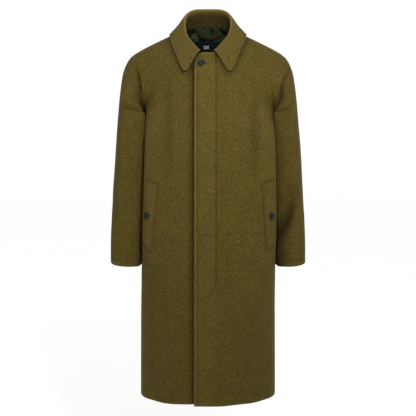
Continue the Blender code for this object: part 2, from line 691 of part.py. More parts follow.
def collar_half(shares):
    """Sections of the left half of the collar, each from the neck edge over the roll to the free edge."""
    table = np.array(COLLAR)
    rows = smooth_through(table[:, 0], table[:, 1:], shares)
    roll, edge, angle = rows[:, 0:3], rows[:, 3:6], np.radians(rows[:, 6])
    out = np.stack([np.cos(angle), np.sin(angle), 0 * angle], axis=1)
    lift = COLLAR_FOOT + COLLAR_END_LIFT * ease((shares - 0.8) / 0.2)
    foot = along_line(neck_line(), shares) + lift[:, None] * vec(0, 0, 1)
    rise = roll - foot
    stand = cubic(foot, foot + rise * 0.35, roll - out * COLLAR_TURN - rise * 0.05, roll,
                  np.array([0, 0.35, 0.65, 0.84]))
    fall_line = edge - roll
    fall = cubic(roll, roll + out * COLLAR_TURN * 1.3, edge - fall_line * 0.55, edge,
                 np.array([0, 0.12, 0.26, 0.42, 0.6, 0.8, 1]))
    return np.concatenate([stand, fall], axis=1)


def collar():
    half = collar_half(np.array(COLLAR_SHARES))
    whole = np.concatenate([mirrored(half[:0:-1], -1), half])
    whole = whole + vec(COLLAR_SHIFT, 0, 0) * ease(-whole[..., 1:2] / 0.08)
    along = np.gradient(whole, axis=0)
    across = np.gradient(whole, axis=1)
    normals = unit(np.cross(along, across))
    shift = normals * COLLAR_CLOTH / 2
    return add("collar", wall_mesh("collar", whole + shift, whole - shift), COATING)


def welt_place(along, across, height):
    """A point of the welt and its normal on the front panel, moved out by height."""
    low, top = vec(WELT_LOW_X, WELT_LOW_Z), vec(WELT_TOP_X, WELT_TOP_Z)
    sewn_x, sewn_z = low + (top - low) * along
    level = vec(ring_level(sewn_z + WELT_SLOPE * across))
    dense = np.linspace(0, 1, 400)[None, :]
    line = FRONT.at(level, dense)[0]
    run = np.concatenate([[0], np.cumsum(np.linalg.norm(np.diff(line, axis=0), axis=1))])
    start = np.interp(sewn_x, line[:300, 0], run[:300])
    lengths = vec(start + WELT_WIDTH * across)[None, :]
    points, normals = front_place(level, lengths, -1)
    return points[0, 0] + normals[0, 0] * height, normals[0, 0]


def welt(name, side):
    rows, columns = np.linspace(0, 1, 9), np.linspace(0, 1, 7)
    heights = (LAYER_GAP + WELT_CLOTH, LAYER_GAP)
    grids = []
    for height in heights:
        grid = np.array([[welt_place(a, b, height)[0] for b in columns] for a in rows])
        grids.append(mirrored(grid, side))
    return add(name, wall_mesh(name, *grids), COATING)


def button_mesh(name):
    """A turned four-hole button: a round rim, a dished face and a flat back, about +Z."""
    mesh = bmesh.new()
    ring = [mesh.verts.new((r * BUTTON_RADIUS, 0, h * BUTTON_HEIGHT)) for r, h in BUTTON_PROFILE]
    edges = [mesh.edges.new(pair) for pair in zip(ring, ring[1:])]
    bmesh.ops.spin(mesh, geom=ring + edges, cent=(0, 0, 0), axis=(0, 0, 1),
                   angle=2 * math.pi, steps=16, use_merge=True)
    bmesh.ops.remove_doubles(mesh, verts=mesh.verts, dist=1e-6)
    bmesh.ops.recalc_face_normals(mesh, faces=mesh.faces)
    return finished(name, mesh)


def hole_cutter(name, place):
    """Four pins through a button, cut away from it."""
    mesh = bmesh.new()
    for quarter in range(4):
        angle = math.pi / 4 + quarter * math.pi / 2
        spot = Vector((math.cos(angle), math.sin(angle), 0)) * BUTTON_HOLE_OFFSET
        spot.z = BUTTON_HEIGHT / 2
        bmesh.ops.create_cone(mesh, cap_ends=True, segments=6, radius1=BUTTON_HOLE_RADIUS,
                              radius2=BUTTON_HOLE_RADIUS, depth=3 * BUTTON_HEIGHT,
                              matrix=Matrix.Translation(spot))
    data = bpy.data.meshes.new(name)
    mesh.to_mesh(data)
    mesh.free()
    cutter = bpy.data.objects.new(name, data)
    bpy.context.scene.collection.objects.link(cutter)
    cutter.matrix_world = place
    cutter.hide_render = True
    cutter.display_type = "WIRE"
    return cutter


def button(name, point, normal):
    turn = Vector(normal).to_track_quat("Z", "Y").to_matrix().to_4x4()
    place = Matrix.Translation(Vector(point)) @ turn
    made = add(name, button_mesh(name), HORN, place)
    holes = made.modifiers.new("holes", "BOOLEAN")
    holes.operation = "DIFFERENCE"
    holes.object = hole_cutter(name + "_holes", place)
    return made


def collar_button():
    level = vec(centre_level(FRONT, COLLAR_BUTTON_Z))
    points, normals = front_place(level, vec(COLLAR_BUTTON_X)[None, :], 1)
    return button("button_collar", points[0, 0] + normals[0, 0] * LAYER_GAP, normals[0, 0])


def welt_button(name, side):
    height = LAYER_GAP + WELT_CLOTH + 2 * LAYER_GAP
    point, normal = welt_place(WELT_BUTTON_ALONG, WELT_BUTTON_ACROSS, height)
    return button(name, mirrored(point, side), mirrored(normal, side))


def lining():
    _, points, normals = back_rows(LINING_TOP_LEVEL)
    rows = slice(ROWS_BELOW + LINING_LOW_ROW, None)
    columns = slice(LINING_COLUMNS_SHORT, -LINING_COLUMNS_SHORT)
    points, normals = points[rows, columns], normals[rows, columns]
    outer = points - normals * (CLOTH + LAYER_GAP)
    inner = outer - normals * LINING_CLOTH
    return add("lining_back", wall_mesh("lining_back", outer, inner), LINING)


def sleeve_lining(name, side):
    """The lining inside a sleeve's top, at the neck, on every second column of the sleeve's back half."""
    _, _, points, normals = sleeve_rows(SLEEVE_BACK, LINING_TOP_LEVEL)
    points, normals = points[-LINING_SLEEVE_ROWS:, ::2], normals[-LINING_SLEEVE_ROWS:, ::2]
    outer = points - normals * (CLOTH + LAYER_GAP)
    inner = outer - normals * LINING_CLOTH
    return add(name, wall_mesh(name, mirrored(outer, side), mirrored(inner, side)), LINING)


def label():
    heights = np.linspace(LABEL_LOW_Z, LABEL_TOP_Z, 5)
    levels = np.array([centre_level(BACK, z) for z in heights])
    lengths = np.tile(np.linspace(-LABEL_WIDTH / 2, LABEL_WIDTH / 2, 9), (len(levels), 1))
    inset = CLOTH + LAYER_GAP + LINING_CLOTH + 2 * LAYER_GAP
    outer, _ = back_place(levels, lengths, inset)
    inner, _ = back_place(levels, lengths, inset + LABEL_CLOTH)
    return add("label", wall_mesh("label", outer, inner), LABEL)


def hanger_loop():
    """A strap sewn in at both ends of the back neck, hanging in a bow."""
    path = np.array(LOOP_PATH)
    knots = np.linspace(0, 1, len(path))
    share = np.linspace(0, 1, 25)
    line = smooth_through(knots, path, share)
    heading = unit(np.gradient(line, axis=0))
    sideways = np.stack([-heading[:, 1], heading[:, 0]], axis=1)
    base = CLOTH + LAYER_GAP + LINING_CLOTH + 2 * LAYER_GAP
    stand_off = base + LOOP_BULGE * np.sin(math.pi * share) ** 1.5
    grids = []
    for depth in (0.0, LOOP_CLOTH):
        rails = []
        for rail in (-0.5, 0.0, 0.5):
            spots = line + sideways * LOOP_WIDTH * rail
            rail_points = []
            for (x, z), inset in zip(spots, stand_off + depth):
                level = vec(centre_level(BACK, min(z, LOOP_TOP_Z)))
                point, _ = back_place(level, vec(x)[None, :], inset)
                rail_points.append(point[0, 0])
            rails.append(rail_points)
        grids.append(np.array(rails).transpose(1, 0, 2))
    return add("hanger_loop", wall_mesh("hanger_loop", *grids), STRAP)


def main():
    for old in list(bpy.data.objects):
        bpy.data.objects.remove(old)
    root = bpy.data.objects.new("coat", None)
    bpy.context.scene.collection.objects.link(root)
    for side, word in ((1, "left"), (-1, "right")):
        front("front_" + word, side)
        sleeve(f"sleeve_{word}_front", SLEEVE_FRONT, side)
        sleeve(f"sleeve_{word}_back", SLEEVE_BACK, side)
        sleeve_lining("lining_sleeve_" + word, side)
        welt("welt_" + word, side)
        welt_button("button_welt_" + word, side)
    back()
    collar()
    collar_button()
    lining()
    label()
    hanger_loop()


main()
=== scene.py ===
# %% [markdown]
# # A wool overcoat, dressed over its solids
#
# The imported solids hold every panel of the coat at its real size. Here each one gets the cloth that a maker
# would use: a fine wall on the same form, with its folds, seams, stitching and finish. A simulation could
# give folds too, but it would not put them where they are wanted, so each fold here is a row in a small
# table.

# %% Load the frame
import math
from collections import namedtuple

import bpy
import numpy as np
from mathutils import Matrix, Vector


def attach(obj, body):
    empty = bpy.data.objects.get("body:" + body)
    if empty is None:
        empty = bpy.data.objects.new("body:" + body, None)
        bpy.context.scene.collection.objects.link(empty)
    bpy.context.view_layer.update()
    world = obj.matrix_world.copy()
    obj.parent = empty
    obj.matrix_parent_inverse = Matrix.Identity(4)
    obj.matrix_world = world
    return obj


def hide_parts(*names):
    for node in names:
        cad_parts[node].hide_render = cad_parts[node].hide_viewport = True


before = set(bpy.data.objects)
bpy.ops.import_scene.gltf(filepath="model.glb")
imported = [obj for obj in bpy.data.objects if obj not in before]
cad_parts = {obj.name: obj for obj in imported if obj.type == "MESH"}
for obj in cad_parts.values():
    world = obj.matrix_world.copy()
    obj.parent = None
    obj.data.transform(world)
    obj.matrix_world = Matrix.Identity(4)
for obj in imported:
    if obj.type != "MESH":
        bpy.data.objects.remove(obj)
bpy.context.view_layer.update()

print("nodes", sorted(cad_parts))

# %% [markdown]
# ## Camera
#
# A shift lens would keep the coat's sides upright, but the shift would stay in every other view. The camera
# stands a little above the middle of the coat instead and looks slightly down, which costs one pixel at the
# hem.

# %% Camera
PHOTO_PIXELS = 416
PIXEL = 0.003094  # metres at the coat's middle
CAMERA_BACK = 2.9
CAMERA_Z = -0.432
AIM_Z = -0.5604
SENSOR = 36.0

scene = bpy.context.scene
camera_data = bpy.data.cameras.new("camera")
camera_data.sensor_width = SENSOR
camera_data.lens = SENSOR * CAMERA_BACK / (PHOTO_PIXELS * PIXEL)
camera = bpy.data.objects.new("camera", camera_data)
scene.collection.objects.link(camera)
camera.location = (0, -CAMERA_BACK, CAMERA_Z)
camera.rotation_euler = Vector((0, CAMERA_BACK, AIM_Z - CAMERA_Z)).to_track_quat("-Z", "Y").to_euler()
scene.camera = camera
print("lens", round(camera_data.lens, 1), "mm")

# %% [markdown]
# ## Light and floor
#
# A white surround gives most of the light, as in a studio with white walls. One round lamp in front adds a
# soft direction and leaves the skirt a little darker than the collar, because its beam is narrow. A second
# lamp does the same for the back. The Standard view transform keeps the cloth's colours as they are set.

# %% Light
scene.view_settings.view_transform = "Standard"
Lamp = namedtuple("Lamp", "name place aim size spread power")
LAMPS = [
    Lamp("key", (0.44, -1.90, 0.60), (0.0, 0.0, -0.22), 0.6, 66, 7.2),
    Lamp("back", (0.30, 2.00, 0.60), (0.0, 0.0, -0.28), 0.6, 66, 7.0),
]
for lamp in LAMPS:
    light = bpy.data.lights.new(lamp.name, "AREA")
    light.shape = "DISK"
    light.size = lamp.size
    light.spread = math.radians(lamp.spread)
    light.energy = lamp.power
    stand = bpy.data.objects.new(lamp.name, light)
    scene.collection.objects.link(stand)
    stand.location = lamp.place
    stand.rotation_euler = (Vector(lamp.aim) - Vector(lamp.place)).to_track_quat("-Z", "Y").to_euler()

SURROUND = 1.0
world = bpy.data.worlds.new("studio")
scene.world = world
world.use_nodes = True
world.node_tree.nodes["Background"].inputs["Color"].default_value = (1.0, 1.0, 1.0, 1.0)
world.node_tree.nodes["Background"].inputs["Strength"].default_value = SURROUND
print("lamps", len(LAMPS))

# %% [markdown]
# ## Finishes
#
# A finish is a small tree of nodes. The helper below makes nodes from a short description, so each finish
# reads as a list of what it is made of. Object coordinates are metres in the coat's frame, so a noise of
# scale 250 has grains of about four millimetres.

# %% Node helpers
LOOKS = {}


class Finish:
    """A material under construction: make nodes, link them, set the shader's own sockets."""

    def __init__(self, name):
        self.material = bpy.data.materials.new(name)
        self.material.use_nodes = True
        self.tree = self.material.node_tree
        self.shader = self.tree.nodes["Principled BSDF"]
        self.place = self.node("ShaderNodeTexCoord").outputs["Object"]
        LOOKS[name] = self.material

    def node(self, kind, settings=None, **sockets):
        made = self.tree.nodes.new(kind)
        for name, value in (settings or {}).items():
            setattr(made, name, value)
        for name, value in sockets.items():
            self.put(made.inputs[name.replace("_", " ")], value)
        return made

    def put(self, socket, value):
        """Links another node's output, or sets a number, a vector or a colour."""
        if isinstance(value, bpy.types.NodeSocket):
            self.tree.links.new(value, socket)
        else:
            socket.default_value = (*value, 1.0) if socket.type == "RGBA" else value

    def shade(self, **sockets):
        for name, value in sockets.items():
            self.put(self.shader.inputs[name.replace("_", " ")], value)

    def noise(self, scale, detail=3.0, roughness=0.55, place=None):
        made = self.node("ShaderNodeTexNoise", Vector=self.place if place is None else place)
        for name, value in (("Scale", scale), ("Detail", detail), ("Roughness", roughness)):
            self.put(made.inputs[name], value)
        return made.outputs["Fac"]

    def wave(self, scale, settings=None, **sockets):
        made = self.node("ShaderNodeTexWave", settings, **{"Vector": self.place, "Scale": scale, **sockets})
        return made.outputs["Fac"]

    def value(self, name):
        """A number that the mesh holds for each point."""
        return self.node("ShaderNodeAttribute", {"attribute_name": name}).outputs["Fac"]

    def ramp(self, value, *stops):
        """Colours or greys at places from 0 to 1."""
        made = self.node("ShaderNodeValToRGB", Fac=value)
        keys = made.color_ramp.elements
        while len(keys) < len(stops):
            keys.new(0.5)
        for key, (place, colour) in zip(keys, stops):
            key.position = place
            key.color = (*colour, 1.0) if isinstance(colour, tuple) else (colour, colour, colour, 1.0)
        return made.outputs["Color"]

    def mix(self, share, first, second, how="MIX"):
        made = self.node("ShaderNodeMix", {"data_type": "RGBA", "blend_type": how})
        for index, value in ((0, share), (6, first), (7, second)):
            self.put(made.inputs[index], value)
        return made.outputs[2]

    def sums(self, how, *numbers):
        made = self.node("ShaderNodeMath", {"operation": how})
        for index, number in enumerate(numbers):
            self.put(made.inputs[index], number)
        return made.outputs[0]

    def stretched(self, scale):
        return self.node("ShaderNodeMapping", Vector=self.place, Scale=scale).outputs["Vector"]

    def bump(self, height, strength, distance, under=None):
        made = self.node("ShaderNodeBump", Height=height, Strength=strength, Distance=distance)
        if under is not None:
            self.put(made.inputs["Normal"], under)
        return made.outputs["Normal"]


def rgb(red, green, blue):
    """Linear colour from the 0 to 255 numbers that a picture shows."""
    shown = (red / 255, green / 255, blue / 255)
    return tuple(((c + 0.055) / 1.055) ** 2.4 if c > 0.0404 else c / 12.92 for c in shown)


# %% [markdown]
# The coating is a felted melange: fibres of several olives carded together, then napped. Grains of three
# sizes mix the colours, a twill shows faintly through the nap, and sheen gives the soft light edge of wool.
# Two values on the mesh change it. One lightens it where edges are worn, and it also carries painted
# highlights on the collar's roll and the lap's top edge, and painted light beside the arms and on one welt.
# The other darkens it where a stitch presses the nap flat, and it also carries painted shade: in folds and
# troughs, beside the lap and the collar's leaf, on the collar's stand and along the welts' edges.

# %% Olive wool
WOOL_DARK = rgb(46, 39, 9)
WOOL_MIDDLE = rgb(62, 52, 16)
WOOL_LIGHT = rgb(79, 66, 23)
WOOL_WORN_AND_LIT = rgb(112, 96, 48)
WORN_AND_LIGHT_SHARE = 0.45  # how much of the lighter colour a place takes on where it is worn and where light is painted
PRESSED_AND_SHADE_SHARE = 0.36  # how light the wool is where its nap is pressed down and where shade is painted
TWILL_PITCH, TWILL_SLANT = 0.0019, math.radians(52)
WAVES_IN_METRE = 3.14  # bands of a wave texture of scale 1


def olive_wool():
    wool = Finish("olive_wool")
    patches = wool.noise(26.0, detail=2.0)
    flecks = wool.noise(380.0, detail=2.0, roughness=0.6)
    fibres = wool.noise(900.0, roughness=0.7, place=wool.stretched((1.0, 1.0, 0.35)))
    grain = wool.sums("MULTIPLY_ADD", fibres, 0.45, wool.sums("MULTIPLY", flecks, 0.55))
    colour = wool.ramp(grain, (0.43, WOOL_DARK), (0.50, WOOL_MIDDLE), (0.57, WOOL_LIGHT))
    colour = wool.mix(1.0, colour, wool.ramp(patches, (0.30, 0.92), (0.70, 1.06)), "MULTIPLY")
    # Worn places and painted light take on the lighter colour; pressed nap and painted shade dim it.
    colour = wool.mix(wool.sums("MULTIPLY", wool.value("wear_and_painted_light"), WORN_AND_LIGHT_SHARE), colour, WOOL_WORN_AND_LIT)
    dim = wool.mix(1.0, colour, (PRESSED_AND_SHADE_SHARE, PRESSED_AND_SHADE_SHARE, PRESSED_AND_SHADE_SHARE), "MULTIPLY")
    colour = wool.mix(wool.value("pressed_and_painted_shade"), colour, dim)
    cut = wool.node("ShaderNodeUVMap", {"uv_map": "cut"}).outputs["UV"]
    turned = wool.node("ShaderNodeMapping", Vector=cut, Rotation=(0.0, 0.0, TWILL_SLANT)).outputs["Vector"]
    wale = wool.wave(1 / TWILL_PITCH / WAVES_IN_METRE, Vector=turned, Distortion=1.2, Detail=2.0,
                     Detail_Scale=2.0)
    nap = wool.noise(1500.0, roughness=0.65)
    normal = wool.bump(wale, 0.10, 0.0004)
    normal = wool.bump(flecks, 0.25, 0.0010, normal)
    normal = wool.bump(nap, 0.35, 0.0005, normal)
    wool.shade(Base_Color=colour, Normal=normal, Roughness=wool.ramp(fibres, (0.3, 0.86), (0.7, 0.98)))
    wool.shade(Sheen_Weight=0.06, Sheen_Roughness=0.45, Sheen_Tint=(0.55, 0.46, 0.20))
    wool.shade(Specular_IOR_Level=0.10)


olive_wool()
print("finishes", sorted(LOOKS))

# %% [markdown]
# Thread, lining, label, strap and buttons each get a finish of their own. Thread is twisted, so it has
# slanting ribs. Satin shows its long floats as fine lines. The label is ribbed, the strap has a pebbled
# grain, and the horn of the buttons is cloudy under a polish.

# %% Small finishes
Thread = namedtuple("Thread", "name dark light flecks twist wobble roughness gloss")
THREADS = [
    Thread("sewing_thread", rgb(42, 35, 12), rgb(58, 49, 19), 300.0, 900.0, 0.5, 0.80, 0.15),
    Thread("buttonhole_silk", rgb(44, 37, 13), rgb(60, 51, 21), 500.0, 1200.0, 0.0, 0.65, 0.20),
]
FLAG_COLOURS = {
    "flag_red": rgb(140, 22, 30),
    "flag_white": rgb(156, 158, 166),
    "flag_blue": rgb(14, 20, 70),
}
FLAG_RIB_SHADE = 0.72  # how light the painted shade in the hollows between the flag's ribs is


def twisted_thread(row):
    thread = Finish(row.name)
    tone = thread.mix(thread.noise(row.flecks), row.dark, row.light)
    twist = thread.wave(row.twist, Distortion=row.wobble)
    thread.shade(Base_Color=tone, Roughness=row.roughness, Specular_IOR_Level=row.gloss)
    thread.shade(Normal=thread.bump(twist, 0.4, 0.0001))


def green_satin():
    satin = Finish("green_satin")
    floats = satin.noise(1600.0, detail=2.0, place=satin.stretched((1.0, 1.0, 0.04)))
    clouds = satin.noise(62.0, detail=2.0)
    tone = satin.ramp(clouds, (0.38, rgb(9, 17, 7)), (0.62, rgb(42, 54, 34)))
    tone = satin.mix(1.0, tone, satin.ramp(floats, (0.3, 0.86), (0.7, 1.1)), "MULTIPLY")
    # Painted shade where the satin lies under the collar's stand.
    tone = satin.mix(satin.value("pressed_and_painted_shade"), tone, rgb(6, 9, 4))
    satin.shade(Base_Color=tone, Normal=satin.bump(floats, 0.15, 0.0002), Specular_IOR_Level=0.025)
    satin.shade(Roughness=satin.ramp(floats, (0.3, 0.48), (0.7, 0.60)))


def label_weave():
    label = Finish("label_weave")
    ribs = label.wave(420.0, {"bands_direction": "Z"})
    tone = label.mix(ribs, rgb(6, 14, 13), rgb(12, 23, 22))
    label.shade(Base_Color=tone, Normal=label.bump(ribs, 0.3, 0.0002), Specular_IOR_Level=0.015)
    label.shade(Roughness=label.ramp(ribs, (0.0, 0.55), (1.0, 0.72)))


def woven_colour(name, colour):
    weave = Finish(name)
    ribs = weave.wave(700.0, {"bands_direction": "X"})
    dim = tuple(FLAG_RIB_SHADE * c for c in colour)
    weave.shade(Base_Color=weave.mix(ribs, dim, colour), Normal=weave.bump(ribs, 0.3, 0.0002), Roughness=0.6)


def slit_shade():
    shade = Finish("slit_shade")
    shade.shade(Base_Color=shade.mix(shade.noise(900.0), rgb(24, 21, 10), rgb(42, 36, 17)), Roughness=0.95)


def brown_leather():
    leather = Finish("brown_leather")
    pebbles = leather.node("ShaderNodeTexVoronoi", {"feature": "DISTANCE_TO_EDGE"}, Vector=leather.place,
                           Scale=900.0).outputs["Distance"]
    grain = leather.ramp(pebbles, (0.0, 0.0), (0.18, 1.0))
    blotch = leather.noise(160.0)
    tone = leather.ramp(blotch, (0.3, rgb(28, 20, 13)), (0.7, rgb(43, 32, 22)))
    tone = leather.mix(leather.sums("MULTIPLY", leather.value("wear_and_painted_light"), 0.5), tone, rgb(52, 39, 28))
    leather.shade(Base_Color=tone, Normal=leather.bump(grain, 0.25, 0.0002), Specular_IOR_Level=0.03)
    leather.shade(Roughness=leather.ramp(blotch, (0.3, 0.50), (0.7, 0.64)))


def dark_horn():
    horn = Finish("dark_horn")
    veins = horn.noise(210.0, detail=4.0, roughness=0.6, place=horn.stretched((1.0, 1.0, 0.4)))
    tone = horn.ramp(veins, (0.36, rgb(8, 15, 14)), (0.54, rgb(16, 26, 24)), (0.72, rgb(38, 48, 45)))
    scratches = horn.ramp(horn.noise(1400.0, detail=2.0), (0.3, 0.30), (0.7, 0.42))
    horn.shade(Base_Color=tone, Roughness=scratches, Specular_IOR_Level=0.06)
    horn.shade(Normal=horn.bump(veins, 0.08, 0.0003), Coat_Weight=0.05, Coat_Roughness=0.15)


def pale_floor():
    floor = Finish("pale_floor")
    tone = floor.ramp(floor.noise(1.4, detail=2.0), (0.3, 0.985), (0.7, 0.998))
    floor.shade(Base_Color=tone, Roughness=0.8, Normal=floor.bump(floor.noise(60.0), 0.03, 0.002))


for row in THREADS:
    twisted_thread(row)
for name, colour in FLAG_COLOURS.items():
    woven_colour(name, colour)
for make in (slit_shade, green_satin, label_weave, brown_leather, dark_horn, pale_floor):
    make()
print("finishes", sorted(LOOKS))

# %% [markdown]
# ## Floor
#
# One large plate is enough: it is pale, so it also lifts the light under the hem a little.

# %% Floor
FLOOR_Z = -1.50  # where a wearer would stand
FLOOR_REACH = 30.0


def floor_plate():
    corners = [(x * FLOOR_REACH, y * FLOOR_REACH, FLOOR_Z) for x, y in ((-1, -1), (1, -1), (1, 1), (-1, 1))]
    data = bpy.data.meshes.new("floor")
    data.from_pydata(corners, [], [(0, 1, 2, 3)])
    data.materials.append(LOOKS["pale_floor"])
    made = bpy.data.objects.new("floor", data)
    scene.collection.objects.link(made)


floor_plate()
print("floor at", FLOOR_Z)

# %% [markdown]
# ## The cut
#
# Every panel is a stack of sections, each a cubic curve from one seam to the next. The tables below are the
# same sizes that the solids were made from, so the cloth lies exactly where they are. A subdivided copy of
# the solids would be quicker to write, but it would round off the seams and could not say how far a point
# is from an edge.

# %% Curve helpers
def vec(*numbers):
    return np.array(numbers, float)


def unit(vectors):
    return vectors / np.linalg.norm(vectors, axis=-1, keepdims=True)


def ease(share):
    """0 to 1 with flat ends."""
    share = np.clip(share, 0.0, 1.0)
    return share * share * (3 - 2 * share)


def bell(distance, width):
    return np.exp(-((distance / width) ** 2))


def distances_in(points, axis):
    """Distances along a line, or along a grid's columns (axis 0) or rows (axis 1), from where they start."""
    run = np.cumsum(np.linalg.norm(np.diff(points, axis=axis), axis=-1), axis=axis)
    return np.concatenate([0 * np.take(run, [0], axis), run], axis=axis)


def smooth_through(knots, values, at):
    """A smooth curve through rows of values, read at each number in at."""
    knots, values = np.asarray(knots, float), np.asarray(values, float)
    steps = np.diff(knots)
    shape = (-1,) + (1,) * (values.ndim - 1)
    slopes = np.diff(values, axis=0) / steps.reshape(shape)
    before, after = steps[:-1].reshape(shape), steps[1:].reshape(shape)
    inner = (slopes[:-1] * after + slopes[1:] * before) / (before + after)
    tangents = np.concatenate([slopes[:1], inner, slopes[-1:]])
    at = np.clip(np.asarray(at, float), knots[0], knots[-1])
    i = np.clip(np.searchsorted(knots, at, side="right") - 1, 0, len(steps) - 1)
    t = ((at - knots[i]) / steps[i]).reshape(shape)
    step = steps[i].reshape(shape)
    start = (1 + 2 * t) * (1 - t) ** 2 * values[i] + t * (1 - t) ** 2 * step * tangents[i]
    return start + t * t * (3 - 2 * t) * values[i + 1] + t * t * (t - 1) * step * tangents[i + 1]


# %% Sizes of the cut
CLOTH = 0.0030
ARMPIT_Z = -0.262
RING_PITCH = 0.015  # height of one level below the armpit, in the body
SLEEVE_PITCH = 0.018  # and in the sleeve
OVERLAP = 0.0405
LAP_LIFT, LAP_SINK = 0.0024, 0.0022
LAP_FLAT, LAP_FADE = 0.048, 0.110
HEM_DROP, HEM_DROP_FROM_Z = 0.003, -0.70
CORNER_WIDE, CORNER_TALL = 0.030, 0.051
CORNER_LEVEL = 4.0
LAYER_GAP = 0.0004
SIDES = {"left": 1, "right": -1}  # the wearer's

Ring = namedtuple("Ring", "z front back side_x side_y swell full")
RINGS = [
    Ring(-1.135, 0.168, 0.140, 0.2085, -0.010, 0.000, 0.60),
    Ring(-1.000, 0.164, 0.137, 0.2080, -0.008, 0.000, 0.60),
    Ring(-0.850, 0.159, 0.132, 0.2070, -0.005, 0.001, 0.66),
    Ring(-0.740, 0.155, 0.129, 0.2045, -0.003, 0.009, 0.74),
    Ring(-0.620, 0.151, 0.125, 0.2000, 0.000, 0.020, 0.84),
    Ring(-0.500, 0.146, 0.119, 0.1955, 0.003, 0.022, 0.92),
    Ring(-0.400, 0.142, 0.115, 0.1930, 0.005, 0.022, 0.92),
    Ring(-0.320, 0.138, 0.117, 0.1920, 0.006, 0.022, 0.86),
    Ring(ARMPIT_Z, 0.131, 0.120, 0.1920, 0.005, 0.024, 0.70),
]
BACK_SWELL, BACK_FULL, BACK_FULL_LEAST = 0.65, 0.76, 0.70

Tube = namedtuple("Tube", "outer_x outer_y outer_z inner_x inner_y inner_z front back lean")
TUBES = [
    Tube(0.2990, -0.022, -0.7255, 0.2065, 0.000, -0.7345, 0.066, 0.048, 0.008),
    Tube(0.2995, -0.014, -0.665, 0.2050, 0.001, -0.665, 0.066, 0.055, 0.012),
    Tube(0.2975, -0.006, -0.600, 0.2025, 0.002, -0.600, 0.068, 0.063, 0.016),
    Tube(0.2945, 0.000, -0.540, 0.2005, 0.003, -0.540, 0.070, 0.070, 0.018),
    Tube(0.2915, 0.005, -0.480, 0.1988, 0.004, -0.480, 0.073, 0.076, 0.022),
    Tube(0.2860, 0.009, -0.400, 0.1970, 0.006, -0.400, 0.078, 0.083, 0.026),
    Tube(0.2815, 0.010, -0.335, 0.1962, 0.007, -0.335, 0.081, 0.088, 0.032),
    Tube(0.2785, 0.010, -0.295, 0.1952, 0.006, -0.295, 0.082, 0.091, 0.036),
    Tube(0.2760, 0.010, ARMPIT_Z, 0.1920, 0.005, ARMPIT_Z, 0.083, 0.092, 0.038),
]
BACK_LEAN = 1.3
CUFF_DIP = 0.005

Station = namedtuple(
    "Station", "fx fy fz bx by bz rx ry rz cf_y cf_z cb_y cb_z crease start body leave arch"
)
STATIONS = [
    Station(0.192, 0.005, -0.262, 0.192, 0.005, -0.262, 0.2760, 0.010, -0.2620,
            -0.1310, -0.262, 0.1200, -0.262, 1.00, 0.70, 1.00, 1.00, 1.00),
    Station(0.1985, -0.0195, -0.253, 0.200, 0.0303, -0.251, 0.2745, 0.010, -0.2450,
            -0.1300, -0.247, 0.1205, -0.247, 0.95, 0.78, 0.45, 0.81, 0.88),
    Station(0.1985, -0.0498, -0.231, 0.199, 0.0614, -0.226, 0.2722, 0.011, -0.2240,
            -0.1280, -0.231, 0.1210, -0.229, 0.60, 0.67, 0.14, 0.37, 1.03),
    Station(0.1945, -0.0623, -0.202, 0.190, 0.0775, -0.194, 0.2695, 0.012, -0.1970,
            -0.1250, -0.213, 0.1205, -0.202, 0.10, 0.52, 0.37, 0.26, 1.01),
    Station(0.188, -0.0653, -0.174, 0.178, 0.0844, -0.163, 0.2645, 0.013, -0.1560,
            -0.1212, -0.196, 0.1180, -0.172, 0.00, 0.45, 0.71, 0.29, 0.72),
    Station(0.176, -0.0639, -0.148, 0.163, 0.0867, -0.135, 0.2540, 0.014, -0.1220,
            -0.1170, -0.179, 0.1135, -0.143, 0.00, 0.51, 0.68, 0.37, 0.50),
    Station(0.159, -0.0632, -0.125, 0.145, 0.0874, -0.108, 0.2370, 0.014, -0.0955,
            -0.1125, -0.162, 0.1070, -0.115, 0.00, 0.61, 0.63, 0.38, 0.37),
    Station(0.136, -0.0644, -0.104, 0.124, 0.0864, -0.082, 0.2080, 0.014, -0.0760,
            -0.1075, -0.145, 0.0985, -0.087, 0.00, 0.67, 0.57, 0.41, 0.37),
    Station(0.114, -0.063, -0.086, 0.102, 0.081, -0.056, 0.1710, 0.013, -0.0570,
            -0.1020, -0.128, 0.0880, -0.058, 0.00, 0.60, 0.44, 0.32, 0.38),
    Station(0.090, -0.051, -0.066, 0.080, 0.068, -0.030, 0.1250, 0.011, -0.0350,
            -0.0950, -0.111, 0.0760, -0.029, 0.00, 0.60, 0.37, 0.26, 0.30),
    Station(0.068, -0.036, -0.047, 0.057, 0.050, -0.007, 0.0770, 0.008, -0.0140,
            -0.0860, -0.093, 0.0620, 0.000, 0.00, 0.60, 0.33, 0.19, 0.21),
]
NECK_LEVEL = len(STATIONS) - 1
print("sections", len(RINGS), "in the body,", len(TUBES), "in the sleeve,", len(STATIONS), "up the raglan")

# %% [markdown]
# A panel reads its sections at any level, and its points at any length along a section. It also knows its
# outward direction, which is how a crease or a layer on top is moved in or out.

# %% Panels
RUN_STEPS = 161
SHARE_STEP, LEVEL_STEP = 0.001, 0.02  # how far apart the points are that give a direction


